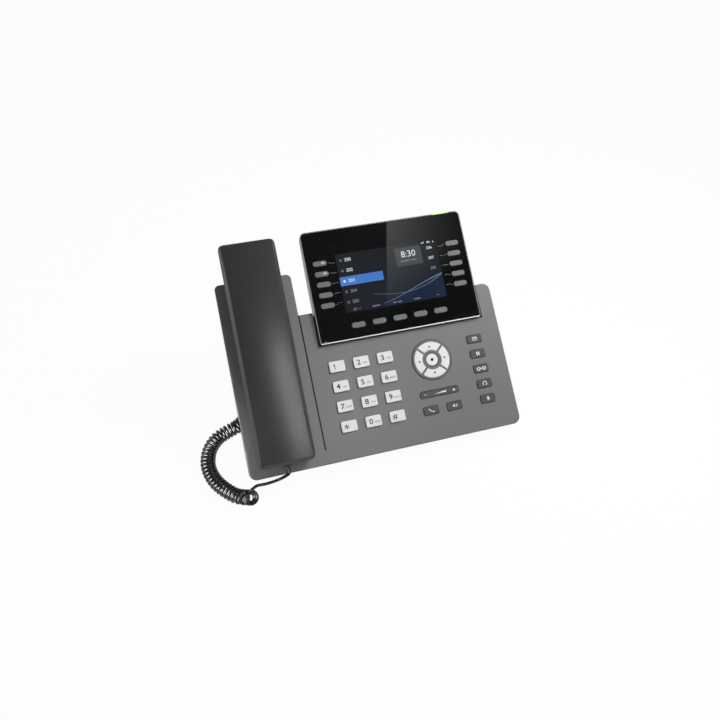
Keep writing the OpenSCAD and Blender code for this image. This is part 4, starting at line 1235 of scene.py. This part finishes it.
class PHONE_OT_stage(bpy.types.Operator):
    """Add the white floor, the lamps and the reflectors of the studio."""

    bl_idname = "phone.stage"
    bl_label = "Stage"

    def execute(self, context):
        sizes = context.scene.phone_stage
        scene = context.scene
        scene.view_settings.view_transform = "Standard"
        floor = plane("studio_floor", sizes.floor, location=(0, 0, -0.0002))
        floor.data.materials.append(self.paper())
        scene.world = self.world(sizes.fill)
        self.lamp("key_lamp", (0.26, -0.04, 0.51), (0.02, 0.0, 0.06), 0.26, sizes.key)
        self.lamp("front_lamp", (-0.25, -0.95, 0.75), (0.0, 0.0, 0.06), 0.8, sizes.key * 0.35)
        self.reflector("glass_reflector", Vector((0.211, -0.284, 0.710)), 1.5)
        spot = HANDSET @ Vector((0.013, 0.053, 0))
        facing = turned(HANDSET, 0.013 / CROWN_RADIUS, 0, 1)
        seen = (EYE - spot).normalized()
        way = 2 * seen.dot(facing) * facing - seen
        self.gleam("handset_gleam", spot + way * 0.27, spot, (0.075, 0.15), 6.5)
        self.gleam("left_gleam", (-0.9, -0.12, 0.27), (-0.1, -0.02, 0.03), (1.1, 0.42), 1.2)
        self.gleam("cord_gleam", (-0.250, -0.080, 0.080), (-0.152, 0.003, 0.005), (0.16, 0.09), 4.2, 60)
        return {"FINISHED"}

    def paper(self):
        """White floor that keeps a soft shadow under the telephone."""
        material, tree, shader = blank("studio paper")
        fed(tree, shader, {"Base Color": (0.94, 0.94, 0.94, 1), "Roughness": 0.9, "Specular IOR Level": 0.1})
        seen = add(tree, "LightPath").outputs
        ways = maths(tree, "MAXIMUM", seen["Is Camera Ray"], seen["Is Glossy Ray"])
        through = maths(tree, "MAXIMUM", ways, seen["Is Transmission Ray"])
        share = maths(tree, "MULTIPLY", through, 0.965)
        glow = add(tree, "Emission", {"Strength": 1.0})
        both = add(tree, "MixShader", {0: share, 1: shader.outputs[0], 2: glow.outputs[0]})
        fed(tree, tree.nodes["Material Output"], {"Surface": both.outputs[0]})
        return material

    def world(self, fill):
        """Even light from all round, with white behind for the camera and low white walls for gloss."""
        world = bpy.data.worlds.new("studio")
        world.use_nodes = True
        tree = world.node_tree
        seen = add(tree, "LightPath").outputs
        rise = split(tree, add(tree, "TexCoord").outputs["Generated"])["Z"]
        wall = ranged(tree, rise, 0.85, 0.05, 0.25, 0.62)
        shiny = maths(tree, "MAXIMUM", seen["Is Glossy Ray"], seen["Is Transmission Ray"])
        gloss = add(tree, "Mix", {0: shiny, 2: fill, 3: wall}, data_type="FLOAT").outputs[0]
        inputs = {0: seen["Is Camera Ray"], 2: gloss, 3: 1.0}
        level = add(tree, "Mix", inputs, data_type="FLOAT").outputs[0]
        fed(tree, tree.nodes["Background"], {"Color": (1, 1, 1, 1), "Strength": level})
        return world

    def lamp(self, name, spot, aim, size, power):
        bpy.ops.object.select_all(action="DESELECT")
        bpy.ops.object.light_add(type="AREA", location=spot, rotation=aimed(spot, aim))
        lamp = start(name)
        tuned(lamp.data, size=size, energy=power)
        lamp.visible_glossy = False
        return lamp

    def gleam(self, name, spot, aim, sides, level, spread=180):
        """A soft sheet of light that only gloss sees."""
        lamp = self.lamp(name, spot, aim, sides[0], level * math.pi * sides[0] * sides[1])
        tuned(lamp.data, shape="RECTANGLE", size_y=sides[1], spread=math.radians(spread))
        tuned(lamp, visible_glossy=True, visible_diffuse=False, visible_camera=False)

    def reflector(self, name, centre, strength):
        """A sheet that only gloss sees, bright at its left edge and fading to the right and downwards."""
        right, up = Vector((0.874, 0.486, 0)), Vector((-0.413, 0.743, 0.526))
        corners = [(-0.078, -0.10), (0.26, -0.20), (0.26, 0.20), (0.1234, 0.20)]
        sheet = plane(name, 1)
        points = sorted(sheet.data.vertices, key=lambda v: math.atan2(v.co.y, v.co.x))
        for point, (a, b) in zip(points, corners):
            point.co = centre + right * a + up * b
        material, tree, shader = blank(name)
        tree.nodes.remove(shader)
        place = here(tree)
        middle, base = centre @ right, centre @ up
        across = ranged(tree, dot(tree, place, right), 1.0, 0.0, middle - 0.078 + 0.128, middle + 0.26 - 0.07)
        upward = ranged(tree, dot(tree, place, up), 0.0, 1.0, base - 0.20 + 0.14, base + 0.20 - 0.11)
        level = maths(tree, "MULTIPLY", maths(tree, "MULTIPLY", across, upward), strength)
        glow = add(tree, "Emission", {"Strength": level}).outputs[0]
        fed(tree, tree.nodes["Material Output"], {"Surface": glow})
        sheet.data.materials.append(material)
        tuned(sheet, visible_camera=False, visible_diffuse=False, visible_shadow=False)


class PHONE_PT_sizes(bpy.types.Panel):
    """Sizes, colours and pieces of the telephone."""

    bl_label = "Desk telephone"
    bl_idname = "PHONE_PT_sizes"
    bl_space_type = "VIEW_3D"
    bl_region_type = "UI"
    bl_category = "Desk telephone"

    def draw(self, context):
        for group in GROUPS:
            box = self.layout.box()
            box.label(text=group.split("_")[1].capitalize())
            values = getattr(context.scene, group)
            for key in values.bl_rna.properties.keys():
                if key not in ("rna_type", "name"):
                    box.prop(values, key)
        for step in STEPS:
            self.layout.operator(step.bl_idname)


STEPS = [
    PHONE_OT_camera, PHONE_OT_plugs, PHONE_OT_cord, PHONE_OT_finishes, PHONE_OT_dial_prints,
    PHONE_OT_key_icons, PHONE_OT_navigation_marks, PHONE_OT_shade_in_key_gaps, PHONE_OT_groove_shade,
    PHONE_OT_key_ticks, PHONE_OT_screen, PHONE_OT_contacts, PHONE_OT_screws, PHONE_OT_stage,
]
GROUPS = {
    "phone_cord": PhoneCordSizes, "phone_prints": PhonePrintSizes, "phone_screen": PhoneScreenSizes,
    "phone_colours": PhoneColours, "phone_stage": PhoneStageSizes,
}


def register():
    for made in (*GROUPS.values(), *STEPS, PHONE_PT_sizes):
        bpy.utils.register_class(made)
    for name, made in GROUPS.items():
        setattr(bpy.types.Scene, name, bpy.props.PointerProperty(type=made))


def unregister():
    for name in GROUPS:
        delattr(bpy.types.Scene, name)
    for made in (PHONE_PT_sizes, *reversed(STEPS), *reversed(GROUPS.values())):
        bpy.utils.unregister_class(made)


def main():
    """Builds everything in order."""
    register()
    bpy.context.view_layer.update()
    for step in STEPS:
        getattr(bpy.ops.phone, step.bl_idname.split(".")[1])()


if __name__ == "__main__":
    main()
